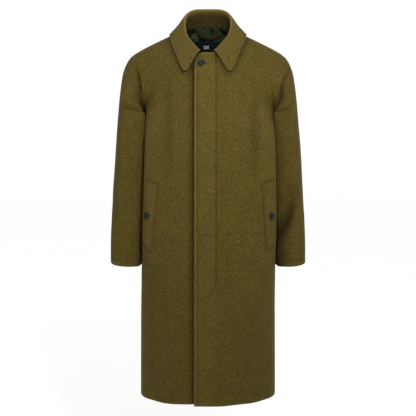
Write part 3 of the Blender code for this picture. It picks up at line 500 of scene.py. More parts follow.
class Panel:
    """A surface of cubic sections between two seams. The seam that passes the armpit turns a corner there."""

    def __init__(self, levels, sections, seam_column, outward):
        self.levels = np.array(levels, float)
        self.sections = np.array(sections, float)
        self.armpit = int(np.argmin(np.abs(self.levels)))
        self.seam_column = seam_column
        self.outward = outward

    def controls(self, level):
        level = np.atleast_1d(np.asarray(level, float))
        made = smooth_through(self.levels, self.sections, level)
        seam = self.sections[:, self.seam_column]
        below = smooth_through(self.levels[: self.armpit + 1], seam[: self.armpit + 1], level)
        above = smooth_through(self.levels[self.armpit :], seam[self.armpit :], level)
        made[:, self.seam_column] = np.where(level[:, None] < 0, below, above)
        return made

    def at(self, level, u):
        c = self.controls(level)[:, None]
        u = np.asarray(u, float)[..., None]
        v = 1 - u
        return v**3 * c[:, :, 0] + 3 * v * v * u * c[:, :, 1] + 3 * v * u * u * c[:, :, 2] + u**3 * c[:, :, 3]

    def runs(self, level):
        """Lengths along each section, at even steps of its parameter."""
        dense = np.linspace(0, 1, RUN_STEPS)
        points = self.at(level, np.tile(dense, (len(np.atleast_1d(level)), 1)))
        return dense, distances_in(points, 1)

    def length(self, level):
        return self.runs(level)[1][:, -1]

    def shares(self, level, lengths):
        dense, runs = self.runs(level)
        return np.array([np.interp(wanted, run, dense) for run, wanted in zip(runs, lengths)])

    def normals(self, level, u):
        level = np.atleast_1d(np.asarray(level, float))
        across = self.at(level, np.minimum(u + SHARE_STEP, 1)) - self.at(level, np.maximum(u - SHARE_STEP, 0))
        up = np.minimum(level + LEVEL_STEP, self.levels[-1])
        down = np.maximum(level - LEVEL_STEP, self.levels[0])
        along = self.at(up, u) - self.at(down, u)
        return unit(np.cross(across, along)) * self.outward

    def both_ways(self, level, lengths):
        """Points and normals at lengths left (+) or right (-) of the centre line."""
        u = self.shares(level, np.abs(lengths))
        past = np.where(lengths < 0, -1.0, 1.0)[..., None] * vec(1, 0, 0) + vec(0, 1, 1)
        return self.at(level, u) * past, self.normals(level, u) * past


# %% [markdown]
# The four panels are built from the tables: a front and a back half of the body, and a front and a back
# half of the sleeve. Each is made once, for the wearer's left. Below the armpit a section leaves its side
# seam straight to the front or the back. Above it, the raglan seam decides how sharply the body meets the
# sleeve.

# %% The four panels
def ring_full(ring, side):
    """The back is rounder than the front, but only where the front is squarer than the least value."""
    return ring.full if side < 0 else min(ring.full, max(BACK_FULL_LEAST, ring.full * BACK_FULL))


def ring_handle(ring, side):
    depth = ring.front if side < 0 else ring.back
    swell = ring.swell if side < 0 else ring.swell * BACK_SWELL
    return vec(swell, side * ring_full(ring, side) * (depth - side * ring.side_y), 0)


def tube_handle(tube, side):
    """Handles of four thirds of the depth bring a cubic exactly that deep."""
    lean = tube.lean if side < 0 else tube.lean * BACK_LEAN
    return vec(lean, side * (tube.front if side < 0 else tube.back) * 4 / 3, 0)


def station_points(row, side):
    """Centre line, raglan seam and ridge of a station, on the front (side -1) or the back (side 1)."""
    ridge = vec(row.rx, row.ry, row.rz)
    if side < 0:
        return vec(0, row.cf_y, row.cf_z), vec(row.fx, row.fy, row.fz), ridge
    return vec(0, row.cb_y, row.cb_z), vec(row.bx, row.by, row.bz), ridge


def seam_handles(row, side):
    """How the body's and the sleeve's sections leave the raglan seam."""
    centre, _, ridge = station_points(row, side)
    smooth = unit(ridge - centre)
    body, sleeve = ring_handle(RINGS[-1], side), tube_handle(TUBES[-1], side)
    body_way = (1 - row.crease) * smooth - row.crease * unit(body)
    sleeve_way = (1 - row.crease) * smooth + row.crease * unit(sleeve)
    return (-unit(body_way) * np.linalg.norm(body) * row.body,
            unit(sleeve_way) * np.linalg.norm(sleeve) * row.leave)


def body_panel(side):
    levels, sections = [], []
    for ring in RINGS[:-1]:
        centre = vec(0, side * (ring.front if side < 0 else ring.back), ring.z)
        start = vec(ring_full(ring, side) * ring.side_x, 0, 0)
        end = vec(ring.side_x, ring.side_y, ring.z)
        levels.append((ring.z - ARMPIT_Z) / RING_PITCH)
        sections.append([centre, centre + start, end + ring_handle(ring, side), end])
    for level, row in enumerate(STATIONS):
        centre, end, _ = station_points(row, side)
        start = vec(row.start * end[0], 0, 0)
        levels.append(level)
        sections.append([centre, centre + start, end + seam_handles(row, side)[0], end])
    return Panel(levels, sections, 3, -side)


def sleeve_panel(side):
    levels, sections = [], []
    for tube in TUBES[:-1]:
        inner = vec(tube.inner_x, tube.inner_y, tube.inner_z)
        outer = vec(tube.outer_x, tube.outer_y, tube.outer_z)
        handle = tube_handle(tube, side)
        dip = vec(0, 0, CUFF_DIP * side if tube is TUBES[0] else 0.0)
        levels.append((tube.outer_z - ARMPIT_Z) / SLEEVE_PITCH)
        sections.append([inner, inner + handle + dip, outer + handle * vec(0, 1, 0) + dip, outer])
    for level, row in enumerate(STATIONS):
        _, start, ridge = station_points(row, side)
        arch = tube_handle(TUBES[-1], side) * vec(0, row.arch, 0)
        levels.append(level)
        sections.append([start, start + seam_handles(row, side)[1], ridge + arch, ridge])
    return Panel(levels, sections, 0, -side)


FRONT, BACK = body_panel(-1), body_panel(1)
SLEEVE_FRONT, SLEEVE_BACK = sleeve_panel(-1), sleeve_panel(1)
hem_girth = FRONT.length(FRONT.levels[:1])[0] + BACK.length(BACK.levels[:1])[0]
print("half girth at the hem", round(float(hem_girth), 3))

# %% [markdown]
# ## Rows and columns
#
# A fine even grid over the whole coat would waste most of its faces. Rows and columns lie about 7 mm apart
# here, and close together only where a seam, an edge or a line of stitching needs them.

# %% Grid helpers
STEP = 0.0065
CLOSE = vec(-0.0020, -0.0011, -0.0005, 0.0, 0.0005, 0.0011, 0.0020)  # around a line of stitching
CLOSE_REACH = 0.0032  # even places keep this far from such a line
SEAM_COLUMNS = vec(0.0002, 0.0007, 0.0014, 0.0023, 0.0034, 0.0046, 0.0054, 0.0059, 0.0064, 0.0069, 0.0077,
                   0.0090, 0.0115, 0.0155)  # distances from a seam
STEADY_LEVELS, STEADY_SHARE, STEADY_MOST = (-5.0, 5.0), 0.72, 0.85
IRON_LEVELS, IRON_REACH, IRON_PASSES = 2.5, 0.030, 110
HEIGHT_STEPS = 1200
RAGLAN_ROWS = 54
NECK_ROWS = vec(0.10, 0.05, 0.02, 0.0)  # levels below the neck edge


def clustered(start, stop, step, lines=()):
    """Even places from start to stop, with closer ones around each line."""
    even = np.linspace(start, stop, max(2, round((stop - start) / step)) + 1)
    apart = [p for p in even if all(abs(p - line) > CLOSE_REACH for line in lines)]
    close = [line + off for line in lines for off in CLOSE]
    places = np.array(sorted(set(apart + close + [start, stop])))
    return places[(places >= start) & (places <= stop)]


def seamward(panel, levels, first, count):
    """Lengths from a panel's far edge towards its main seam, even at first and close at the seam. Sections
    change length quickly at the armpit, so the even ones follow a steadier length there."""
    ends = panel.length(levels)
    reach = ends - SEAM_COLUMNS[-1] - STEP
    steady = np.interp(levels, STEADY_LEVELS, panel.length(vec(*STEADY_LEVELS)))
    outside = (levels < STEADY_LEVELS[0]) | (levels > STEADY_LEVELS[1])
    even = np.minimum(STEADY_SHARE * np.where(outside, ends, steady), STEADY_MOST * reach)
    shares = np.linspace(0, 1, count)
    rows = [np.interp(shares, [0, STEADY_SHARE, 1], [first, e, r]) for e, r in zip(even, reach)]
    return np.concatenate([np.array(rows), ends[:, None] - SEAM_COLUMNS[::-1]], axis=1)


def ironed(points, levels, from_seam):
    """Evens out the columns near the armpit, where the sections change quickly. The seams stay."""
    near = bell(levels[1:-1], IRON_LEVELS)[:, None] * ease(from_seam[1:-1] / IRON_REACH)
    points = points.copy()
    for _ in range(IRON_PASSES):
        below, middle, above = points[:-2], points[1:-1], points[2:]
        down = np.linalg.norm(below - middle, axis=2, keepdims=True)
        up = np.linalg.norm(above - middle, axis=2, keepdims=True)
        straight = (below * up + above * down) / (up + down)
        points[1:-1] = middle + (straight - middle) * near[..., None]
    return points


def ring_level(z):
    return (z - ARMPIT_Z) / RING_PITCH


def centre_level(panel, z):
    dense = np.linspace(panel.levels[0], panel.levels[-1], HEIGHT_STEPS)
    return np.interp(z, panel.controls(dense)[:, 0, 2], dense)


def body_levels(lines=()):
    """Rows of the body: closer at the hem, at the neck and around heights where something is sewn."""
    below = ring_level(clustered(RINGS[0].z, ARMPIT_Z, STEP, (RINGS[0].z, *lines)))
    above = np.linspace(0, NECK_LEVEL, RAGLAN_ROWS)[1:-1]
    return np.concatenate([below, above, NECK_LEVEL - NECK_ROWS])


# %% [markdown]
# ## From grid to cloth
#
# A panel becomes a closed wall: the outer face, an inner face one cloth thickness behind it, and a rounded
# rim. The cut's own measures go into a UV map, so the twill runs along the cloth. Two values at each point
# say how worn the wool is there, with painted light added in places, and how far it is pressed down, with
# painted shade added in places.

# %% Walls of cloth
RIM_WORN = 0.6


def piece(name, points, faces, looks, slot, uv=None, wear_and_painted_light=None, pressed_and_painted_shade=None):
    """A mesh object that rides with the coat."""
    data = bpy.data.meshes.new(name)
    data.from_pydata(np.asarray(points).reshape(-1, 3).tolist(), [], faces)
    data.shade_smooth()
    for look in looks:
        data.materials.append(LOOKS[look])
    if uv is not None:
        corners = np.zeros(len(data.loops), np.int32)
        data.loops.foreach_get("vertex_index", corners)
        layer = data.uv_layers.new(name="cut")
        layer.data.foreach_set("uv", np.asarray(uv, np.float32).reshape(-1, 2)[corners].ravel())
    for value, numbers in (("wear_and_painted_light", wear_and_painted_light), ("pressed_and_painted_shade", pressed_and_painted_shade)):
        if numbers is not None:
            layer = data.attributes.new(value, "FLOAT", "POINT")
            layer.data.foreach_set("value", np.clip(np.asarray(numbers, np.float32).ravel(), 0, 1))
    made = bpy.data.objects.new(name, data)
    scene.collection.objects.link(made)
    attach(made, "root")
    return made


def grid_faces(rows, columns, first=0, flip=False):
    r, c = np.meshgrid(np.arange(rows - 1), np.arange(columns - 1), indexing="ij")
    a = (first + r * columns + c).ravel()
    quads = np.stack([a, a + 1, a + 1 + columns, a + columns], axis=1)
    return (quads[:, ::-1] if flip else quads).tolist()


def border(rows, columns):
    """Grid places round the edge, in order."""
    loop = [(0, c) for c in range(columns)]
    loop += [(r, columns - 1) for r in range(1, rows)]
    loop += [(rows - 1, c) for c in range(columns - 2, -1, -1)]
    return loop + [(r, 0) for r in range(rows - 2, 0, -1)]


def wall(name, outer, inner, looks, slot, uv, rims=(0, 0, 0, 0), wear_and_painted_light=None, outward=1, pressed_and_painted_shade=None):
    """A closed wall between two grids. rims are how far the rim bulges at the bottom, right, top and left."""
    rows, columns = outer.shape[:2]
    size, flip = rows * columns, outward < 0
    bottom, right, top, left = rims
    bulge = np.zeros_like(outer)
    bulge[0] += unit(outer[0] - outer[1]) * bottom
    bulge[-1] += unit(outer[-1] - outer[-2]) * top
    bulge[:, 0] += unit(outer[:, 0] - outer[:, 1]) * left
    bulge[:, -1] += unit(outer[:, -1] - outer[:, -2]) * right
    r, c = np.array(border(rows, columns)).T
    rim = (outer[r, c] + inner[r, c]) / 2 + bulge[r, c]
    points = np.concatenate([outer.reshape(-1, 3), inner.reshape(-1, 3), rim])
    faces = grid_faces(rows, columns, 0, flip) + grid_faces(rows, columns, size, not flip)
    here = r * columns + c
    after = np.roll(here, -1)
    ring = 2 * size + np.arange(len(here))
    next_ring = np.roll(ring, -1)
    outer_band = np.stack([here, ring, next_ring, after], axis=1)
    inner_band = np.stack([ring, here + size, after + size, next_ring], axis=1)
    for band in (outer_band, inner_band):
        faces += (band[:, ::-1] if flip else band).tolist()
    flat = np.asarray(uv).reshape(-1, 2)
    values = []
    for grid, at_rim in ((wear_and_painted_light, RIM_WORN * (max(rims) > 0)), (pressed_and_painted_shade, 0.0)):
        face = np.zeros(size) if grid is None else grid.ravel()
        values.append(np.concatenate([face, np.zeros(size), np.full(len(here), at_rim)]))
    return piece(name, points, faces, looks, slot, np.concatenate([flat, flat, flat[here]]), *values)


# %% [markdown]
# The coat does not hang quite straight: below the armpits the sides of the body, and the sleeves beside
# them, lie a few millimetres towards the wearer's left. A turn of the whole coat would move its hem and its
# shoulders too, so a short table says how far over the sides are at each height.

# %% Hang
Sway = namedtuple("Sway", "z over")
SWAY = [
    Sway(-0.860, 0.0000),
    Sway(-0.720, 0.0018),
    Sway(-0.600, 0.0042),
    Sway(-0.480, 0.0055),
    Sway(-0.340, 0.0055),
    Sway(-0.260, 0.0025),
    Sway(-0.200, 0.0000),
]
SWAY_FROM_X, SWAY_RISE = 0.050, 0.070  # it starts beside the centre
SWAY_TO_X, SWAY_FALL = 0.215, 0.065  # and ends on the sleeve


def mirrored(points, side):
    return points * vec(side, 1, 1)


def swayed(points):
    z = np.clip(points[..., 2], SWAY[0].z, SWAY[-1].z)
    over = smooth_through([row.z for row in SWAY], [row.over for row in SWAY], z.ravel()).reshape(z.shape)
    away = np.abs(points[..., 0])
    held = ease((away - SWAY_FROM_X) / SWAY_RISE) * (1 - ease((away - SWAY_TO_X) / SWAY_FALL))
    moved = points.copy()
    moved[..., 0] += over * held
    return moved


# %% [markdown]
# ## Seams and creases
#
# At a plain seam the cloth dips into a narrow groove. The two panels stand a third of a millimetre apart
# there, and their edges are cut at a slant so that no light comes through. The raglan seam is lapped: its
# allowance lifts the sleeve a little as far as the topstitching, and the stitches pull it down again. At
# the armpit the cloth is fuller on both sides. Creases are soft troughs between two points seen from the
# front, with a depth and a width each. A negative depth is a ridge.

# %% Relief
SEAM_SINK, SEAM_NARROW = 0.0016, 0.0014
SEAM_SLANT, SEAM_SLANT_WIDE = 0.0012, 0.008
SEAM_CLEAR = 0.02  # creases run out this far from a seam
STITCH_SINK, STITCH_NARROW = 0.0013, 0.0014
EDGE_ROUND, EDGE_NARROW = 0.0011, 0.0013
TOPSTITCH = 0.0064  # from the raglan seam, on the sleeve
LAP_RISE, LAP_RISE_INSIDE, LAP_RISE_OVER = 0.0015, 0.001, 0.003
ARMPIT_FILL_Z, ARMPIT_FILL_TALL = -0.240, 0.030
ARMPIT_FILL_FROM_SEAM, ARMPIT_FILL_WIDE = 0.006, 0.009
CREASE_TAPER = 1.3


def groove(distance):
    return -SEAM_SINK * bell(distance, SEAM_NARROW)


def stitch_dip(distance):
    return -STITCH_SINK * bell(distance, STITCH_NARROW)


def edge_round(distance):
    return -EDGE_ROUND * bell(distance, EDGE_NARROW)


def lapped(distance):
    """The sleeve's side of a lapped seam, at distances from it."""
    past = distance - TOPSTITCH
    return LAP_RISE * (1 - ease((past + LAP_RISE_INSIDE) / LAP_RISE_OVER)) + stitch_dip(past)


def armpit_fill(points, from_seam):
    """How full the cloth is on both sides of the seam at the armpit, from 0 to 1."""
    tall = bell(points[..., 2] - ARMPIT_FILL_Z, ARMPIT_FILL_TALL)
    return tall * bell(from_seam - ARMPIT_FILL_FROM_SEAM, ARMPIT_FILL_WIDE)


def two_faces(points, normals, large, fine):
    """The outer face of a cloth wall, and its inner face, which the fine relief does not reach."""
    return points + normals * (large + fine)[..., None], points + normals * (large - CLOTH)[..., None]


def slanted(inner, from_seam, towards):
    """The inside of a wall, moved along its rows near a seam, so that the edges there are cut at a slant."""
    along = unit(np.gradient(inner, axis=1))
    return inner + along * (SEAM_SLANT * towards * (1 - ease(from_seam / SEAM_SLANT_WIDE)))[..., None]


Crease = namedtuple("Crease", "x0 z0 x1 z1 depth width")


def creased(points, table):
    """How far the creases of a table move the points out. They fade out at both ends."""
    moved = np.zeros(points.shape[:2])
    spot = points[..., [0, 2]]
    for crease in table:
        start, end = vec(crease.x0, crease.z0), vec(crease.x1, crease.z1)
        way = end - start
        share = ((spot - start) @ way) / (way @ way)
        away = np.abs((spot - start) @ vec(way[1], -way[0])) / np.linalg.norm(way)
        along = np.sin(math.pi * np.clip(share, 0, 1)) ** CREASE_TAPER
        moved -= crease.depth * bell(away, crease.width) * along
    return moved


# %% [markdown]
# The same lines change the wool's looks. Seams and stitches press its nap down, and hems, cuffs and edges
# are worn. These few values are shared by all the panels.

# %% Pressed and worn
SEAM_PRESSED, SEAM_PRESSED_WIDE = 0.30, 0.0016
STITCH_PRESSED, STITCH_PRESSED_WIDE = 0.25, 0.0013
HEM_WORN, HEM_WORN_WIDE = 0.3, 0.005
HEM_BULGE = 0.0009  # how far the folded edge of a hem or a cuff is rounded out
RAGLAN_FROM_LEVEL, RAGLAN_LEVELS = 2.5, 2.2


def seam_pressed(distance):
    return SEAM_PRESSED * bell(distance, SEAM_PRESSED_WIDE)


def stitch_pressed(distance):
    return STITCH_PRESSED * bell(distance, STITCH_PRESSED_WIDE)


def hem_worn(distance):
    return HEM_WORN * bell(distance, HEM_WORN_WIDE)


def up_raglan(levels):
    """0 at the armpit and 1 further up, where the raglan seam is lapped and shows."""
    return ease((levels - RAGLAN_FROM_LEVEL) / RAGLAN_LEVELS)[:, None]


# %% [markdown]
# ## Stitching
#
# A stitch is a short thread that rises out of the cloth and goes back in. One small capsule is copied along
# each line, and all the capsules of a panel are one mesh.

# %% Stitches
STITCH_PITCH, STITCH_LONG, THREAD = 0.0036, 0.0027, 0.00026
CapsuleRing = namedtuple("CapsuleRing", "place swell lift")
CAPSULE = [
    CapsuleRing(-0.50, 0.45, -0.70),
    CapsuleRing(-0.32, 0.95, 0.20),
    CapsuleRing(0.00, 1.00, 0.55),
    CapsuleRing(0.32, 0.95, 0.20),
    CapsuleRing(0.50, 0.45, -0.70),
]
CAPSULE_SIDES = 6
HEADING_REACH = 0.0006


def capsule(long, radius):
    """Points of a stitch along +X that arches in +Z, and its faces."""
    points = []
    for ring in CAPSULE:
        for k in range(CAPSULE_SIDES):
            angle = 2 * math.pi * k / CAPSULE_SIDES
            points.append((ring.place * long, ring.swell * radius * math.cos(angle),
                           radius * (ring.lift + ring.swell * math.sin(angle))))
    last = (len(CAPSULE) - 1) * CAPSULE_SIDES
    faces = []
    for first in range(0, last, CAPSULE_SIDES):
        for k in range(CAPSULE_SIDES):
            a, b = first + k, first + (k + 1) % CAPSULE_SIDES
            faces.append((a, a + CAPSULE_SIDES, b + CAPSULE_SIDES, b))
    faces.append(tuple(range(CAPSULE_SIDES)))
    faces.append(tuple(range(last + CAPSULE_SIDES - 1, last - 1, -1)))
    return np.array(points), faces


def read_at(run, values, wanted):
    """Rows of values at distances along a line."""
    return np.stack([np.interp(wanted, run, column) for column in values.T], axis=1)


def evenly(points, normals, pitch):
    """Places, directions and normals at even steps along a line."""
    run = distances_in(points, 0)
    wanted = np.arange(pitch / 2, run[-1], pitch)
    ahead, behind = (read_at(run, points, wanted + reach) for reach in (HEADING_REACH, -HEADING_REACH))
    return read_at(run, points, wanted), unit(ahead - behind), unit(read_at(run, normals, wanted))


def thread_mesh(name, places, ways, ups, long, radius, look):
    """Many capsules as one mesh."""
    shape, shape_faces = capsule(long, radius)
    side = unit(np.cross(ups, ways))
    up = np.cross(ways, side)
    points = (places[:, None] + shape[None, :, 0:1] * ways[:, None] + shape[None, :, 1:2] * side[:, None]
              + shape[None, :, 2:3] * up[:, None])
    faces = [tuple(i + k * len(shape) for i in face) for k in range(len(places)) for face in shape_faces]
    return piece(name, points, faces, [look], "coating")


def sew(name, lines):
    """Stitches along each line of points and normals."""
    rows = [evenly(points, normals, STITCH_PITCH) for points, normals in lines]
    places, ways, ups = (np.concatenate(column) for column in zip(*rows))
    print(name, len(places), "stitches")
    return thread_mesh(name, places, ways, ups, STITCH_LONG, THREAD, "sewing_thread")


# %% [markdown]
# ## Collar
#
# The collar is one folded cloth: a stand that rises from the neck seam, a roll, and a leaf that falls over
# the shoulders to two blunt points. It is lofted through a few sections from the centre back to the front.
# It comes before the other panels, because the shadow beside its edge is painted on their cloth.

# %% Collar sections
COLLAR_CLOTH = 0.0036
Turn = namedtuple("Turn", "along roll_x roll_y roll_z edge_x edge_y edge_z out")
COLLAR = [
    Turn(0.00, 0.000, 0.060, 0.058, 0.000, 0.0775, -0.014, 90),
    Turn(0.17, 0.044, 0.049, 0.054, 0.056, 0.0720, -0.015, 66),
    Turn(0.34, 0.066, 0.022, 0.035, 0.099, 0.0450, -0.020, 22),
    Turn(0.50, 0.072, -0.005, 0.006, 0.1175, 0.0020, -0.026, -8),
    Turn(0.66, 0.063, -0.043, -0.035, 0.1105, -0.0430, -0.054, -32),
    Turn(0.80, 0.0440, -0.0675, -0.0615, 0.0970, -0.0780, -0.088, -46),
    Turn(0.91, 0.0305, -0.0845, -0.0790, 0.0845, -0.1000, -0.120, -54),
    Turn(0.97, 0.0250, -0.0915, -0.0845, 0.0742, -0.1118, -0.1445, -58),
    Turn(0.99, 0.0235, -0.0933, -0.0863, 0.0705, -0.1165, -0.1535, -59),
    Turn(1.00, 0.0230, -0.0940, -0.0870, 0.0682, -0.1180, -0.1575, -60),
]
COLLAR_END_X, COLLAR_SHIFT, COLLAR_SHIFT_REACH = 0.022, -0.0025, 0.08
COLLAR_FOOT, COLLAR_END_LIFT, COLLAR_END_FROM = 0.0024, 0.0025, 0.8
COLLAR_TURN = 0.0065  # how far the roll bulges
STAND_BOW, STAND_LEAN, LEAF_TURN, LEAF_BOW = 0.35, 0.05, 1.3, 0.55  # handles of a section's two curves
NECK_STEPS = 60


def neck_line():
    """The left half of the neck edge, from the centre back to the collar's end."""
    dense, top = np.linspace(0, 1, NECK_STEPS)[None, :], vec(NECK_LEVEL)
    back_run, shoulder_back, shoulder_front, front_run = (
        panel.at(top, dense)[0] for panel in (BACK, SLEEVE_BACK, SLEEVE_FRONT, FRONT))
    front_run = front_run[::-1]
    front_run = front_run[front_run[:, 0] >= COLLAR_END_X]
    return np.concatenate([back_run, shoulder_back[1:], shoulder_front[::-1][1:], front_run[1:]])


def along_line(points, shares):
    run = distances_in(points, 0)
    return read_at(run, points, np.asarray(shares) * run[-1])


def cubic(a, b, c, d, share):
    t = np.asarray(share, float)[None, :, None]
    a, b, c, d = (p[:, None, :] for p in (a, b, c, d))
    return (1 - t) ** 3 * a + 3 * (1 - t) ** 2 * t * b + 3 * (1 - t) * t * t * c + t**3 * d


def collar_half(shares, stand_steps, leaf_steps):
    """Sections of the left half, each from the neck edge over the roll to the free edge."""
    table = np.array(COLLAR)
    rows = smooth_through(table[:, 0], table[:, 1:], shares)
    roll, edge, angle = rows[:, 0:3], rows[:, 3:6], np.radians(rows[:, 6])
    out = np.stack([np.cos(angle), np.sin(angle), 0 * angle], axis=1) * COLLAR_TURN
    lift = COLLAR_FOOT + COLLAR_END_LIFT * ease((shares - COLLAR_END_FROM) / (1 - COLLAR_END_FROM))
    foot = along_line(neck_line(), shares) + lift[:, None] * vec(0, 0, 1)
    rise, fall = roll - foot, edge - roll
    stand = cubic(foot, foot + rise * STAND_BOW, roll - out - rise * STAND_LEAN, roll, stand_steps)
    leaf = cubic(roll, roll + out * LEAF_TURN, edge - fall * LEAF_BOW, edge, leaf_steps)
    return np.concatenate([stand, leaf], axis=1)


# %% [markdown]
# The points of the leaf are blunt: the corner of the grid is drawn in to an arc that touches both of its
# edges. Rows and columns are closest at the free edges, where the stitching runs.

# %% Collar grid
STAND_COLUMNS, STAND_TO = 18, 0.97
LEAF_COLUMNS, LEAF_TO = 30, 0.83
COLLAR_ROWS, COLLAR_ROWS_TO = 56, 0.92
NEAR_END = vec(0.060, 0.048, 0.038, 0.030, 0.024, 0.019, 0.0145, 0.0105, 0.007, 0.004, 0.0015, 0.0)
NEAR_EDGE = vec(0.14, 0.115, 0.095, 0.08, 0.068, 0.055, 0.042, 0.030, 0.018, 0.008, 0.0)
POINT_RADIUS = 0.0084  # the arc at the leaf's point
POINT_SPAN = 9  # rows and columns that give the directions of the two edges there
LEAST, INSIDE = 1e-9, 1e-6
PART_SIZE = 400


def rounded_point(points):
    """Rounds off the corner between a grid's last row and its last column with an arc that touches both."""
    tip = points[-1, -1]
    row_way, column_way = unit(points[-1, -POINT_SPAN] - tip), unit(points[-POINT_SPAN, -1] - tip)
    half = math.acos(row_way @ column_way) / 2
    reach = POINT_RADIUS / math.tan(half)
    middle = tip + unit(row_way + column_way) * POINT_RADIUS / math.sin(half)
    along, over = distances_in(points, 0), distances_in(points, 1)
    near_row = np.clip(1 - (along[-1:] - along) / reach, LEAST, 1)
    near_column = np.clip(1 - (over[:, -1:] - over) / reach, LEAST, 1)
    on_row = tip + row_way * (reach * np.clip(1 - near_column / near_row, 0, 1))[..., None]
    on_column = tip + column_way * (reach * np.clip(1 - near_row / near_column, 0, 1))[..., None]
    edge = np.where((near_row > near_column)[..., None], on_row, on_column)
    turn = np.arctan2(near_column, near_row)[..., None] * 2 / math.pi
    bend = math.pi - 2 * half
    start, stop = tip + row_way * reach - middle, tip + column_way * reach - middle
    arc = middle + (np.sin((1 - turn) * bend) * start + np.sin(turn * bend) * stop) / math.sin(bend)
    inside = (near_row > INSIDE) & (near_column > INSIDE)
    return points + (arc - edge) * (np.maximum(near_row, near_column) * inside)[..., None]


def collar_grid():
    shares = np.concatenate([np.linspace(0, COLLAR_ROWS_TO, COLLAR_ROWS), 1 - NEAR_END])
    leaf_steps = np.concatenate([np.linspace(0, LEAF_TO, LEAF_COLUMNS), 1 - NEAR_EDGE])
    half = collar_half(shares, np.linspace(0, STAND_TO, STAND_COLUMNS), leaf_steps)
    half[:, STAND_COLUMNS:] = rounded_point(half[:, STAND_COLUMNS:])
    whole = np.concatenate([mirrored(half[:0:-1], -1), half])
    return whole + vec(COLLAR_SHIFT, 0, 0) * ease(-whole[..., 1:2] / COLLAR_SHIFT_REACH)


def nearest(points, targets):
    """Distance of each point from the nearest target."""
    parts = np.array_split(points, len(points) // PART_SIZE + 1)
    return np.concatenate([np.linalg.norm(part[:, None] - targets, axis=2).min(axis=1) for part in parts])


def edge_distance(whole):
    """Distance of each point from the collar's free edge and its ends."""
    rim = np.concatenate([whole[0], whole[:, -1], whole[-1]])
    return nearest(whole.reshape(-1, 3), rim).reshape(whole.shape[:2])


# %% [markdown]
# The edge is stitched all round, so the leaf is pressed thin outside that line. The crest of the roll gets a
# painted highlight, and the stand, which lies in the shade inside the collar, gets painted shade.

# %% Collar
COLLAR_STITCH, COLLAR_BULGE = 0.0058, 0.0008
ROLL_COLUMNS, RIM_FROM = 4, 6  # columns of the leaf that are still on the roll
LEAF_FULL, LEAF_FULL_WIDE = 0.0006, 0.006
LEAF_WORN, LEAF_EDGE_WORN, LEAF_EDGE_WIDE = 0.12, 0.2, 0.004
# How low and how far the leaf's painted shadow reaches on the panels beside it.
LEAF_SHADE_LOW_Z, LEAF_SHADE_WIDE = -0.200, 0.014
# A painted highlight along the crest of the roll, where light from above falls on it.
ROLL_HIGHLIGHT, ROLL_HIGHLIGHT_COLUMNS = 1.3, 3.2
# Painted shade on the stand, which lies in the shade inside the collar.
STAND_PAINTED_SHADE, STAND_FADE = 0.97, 11
STAND_TUCK, TUCK_FROM_Y, TUCK_OVER_Y = 0.0030, -0.02, 0.04  # the stand's inner foot covers the lining's top
NAPE_X, NAPE_TO_SIDE = 0.018, 0.040


def neck_side(x):
    """0 at the nape and 1 at the sides of the neck."""
    return ease((np.abs(x) - NAPE_X) / NAPE_TO_SIDE)


def crossing(points, normals, distance, wanted):
    """Where a line of points, read from its far end, first gets that far from the edge."""
    inside = np.flatnonzero(distance > wanted)
    if len(inside) == 0 or inside[-1] + 1 >= len(points):
        return None
    i = inside[-1]
    t = (distance[i] - wanted) / (distance[i] - distance[i + 1])
    return points[i] + (points[i + 1] - points[i]) * t, normals[i]


def collar_stitching(outer, normals, to_edge):
    columns = range(STAND_COLUMNS + ROLL_COLUMNS, outer.shape[1])
    right = [(slice(None), c) for c in columns]
    left = [(slice(None, None, -1), c) for c in columns]
    lines = []
    for places in (range(len(outer)), right, left):
        spots = [crossing(outer[at], normals[at], to_edge[at], COLLAR_STITCH) for at in places]
        spots = [spot for spot in spots if spot is not None]
        lines.append(tuple(np.array(column) for column in zip(*spots)))
    sew("stitches_collar", lines)


def collar():
    whole = collar_grid()
    columns = np.arange(whole.shape[1])
    normals = unit(np.cross(np.gradient(whole, axis=0), np.gradient(whole, axis=1)))
    to_edge = edge_distance(whole)
    leaf = np.zeros(whole.shape[:2])
    leaf[:, STAND_COLUMNS:] = 1.0
    fine = (stitch_dip(to_edge - COLLAR_STITCH) + edge_round(to_edge)) * leaf
    full = COLLAR_CLOTH / 2 + LEAF_FULL * leaf * ease((to_edge - COLLAR_STITCH) / LEAF_FULL_WIDE)
    outer = whole + normals * (full + fine)[..., None]
    inner = whole - normals * COLLAR_CLOTH / 2
    foot = (1 - np.linspace(0, 1, STAND_COLUMNS)) ** 3 * ease((whole[:, :1, 1] - TUCK_FROM_Y) / TUCK_OVER_Y)
    foot = foot * (1 - neck_side(whole[:, :1, 0]))
    outer[:, :STAND_COLUMNS] += normals[:, :STAND_COLUMNS] * (STAND_TUCK * foot)[..., None]
    uv = np.stack([distances_in(whole, 0), distances_in(whole, 1)], axis=2)
    hidden = 1 - ease((columns - STAND_COLUMNS + STAND_FADE) / STAND_FADE)
    pressed_and_painted_shade = STAND_PAINTED_SHADE * hidden + stitch_pressed(to_edge - COLLAR_STITCH) * leaf
    worn_and_painted_light = (LEAF_WORN + LEAF_EDGE_WORN * bell(to_edge, LEAF_EDGE_WIDE)) * leaf
    worn_and_painted_light = worn_and_painted_light + ROLL_HIGHLIGHT * bell(columns - STAND_COLUMNS + 1, ROLL_HIGHLIGHT_COLUMNS)
    made = wall("collar_cloth", outer, inner, ["olive_wool"], "coating", uv,
                (COLLAR_BULGE, COLLAR_BULGE, COLLAR_BULGE, 0), worn_and_painted_light, 1, pressed_and_painted_shade)
    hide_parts("collar")
    collar_stitching(outer, normals, to_edge)
    first = STAND_COLUMNS + RIM_FROM
    rim = np.concatenate([whole[0, first::2], whole[::2, -1], whole[-1, first::2]])
    return outer, normals, rim


collar_face, collar_out, collar_rim = collar()


def beside_collar(points):
    """How much painted shadow of the collar's leaf falls on the cloth beside its edge, from 0 to 1."""
    shade = np.zeros(points.shape[:2])
    near = points[..., 2] > LEAF_SHADE_LOW_Z
    shade[near] = bell(nearest(points[near], collar_rim), LEAF_SHADE_WIDE)
    return shade
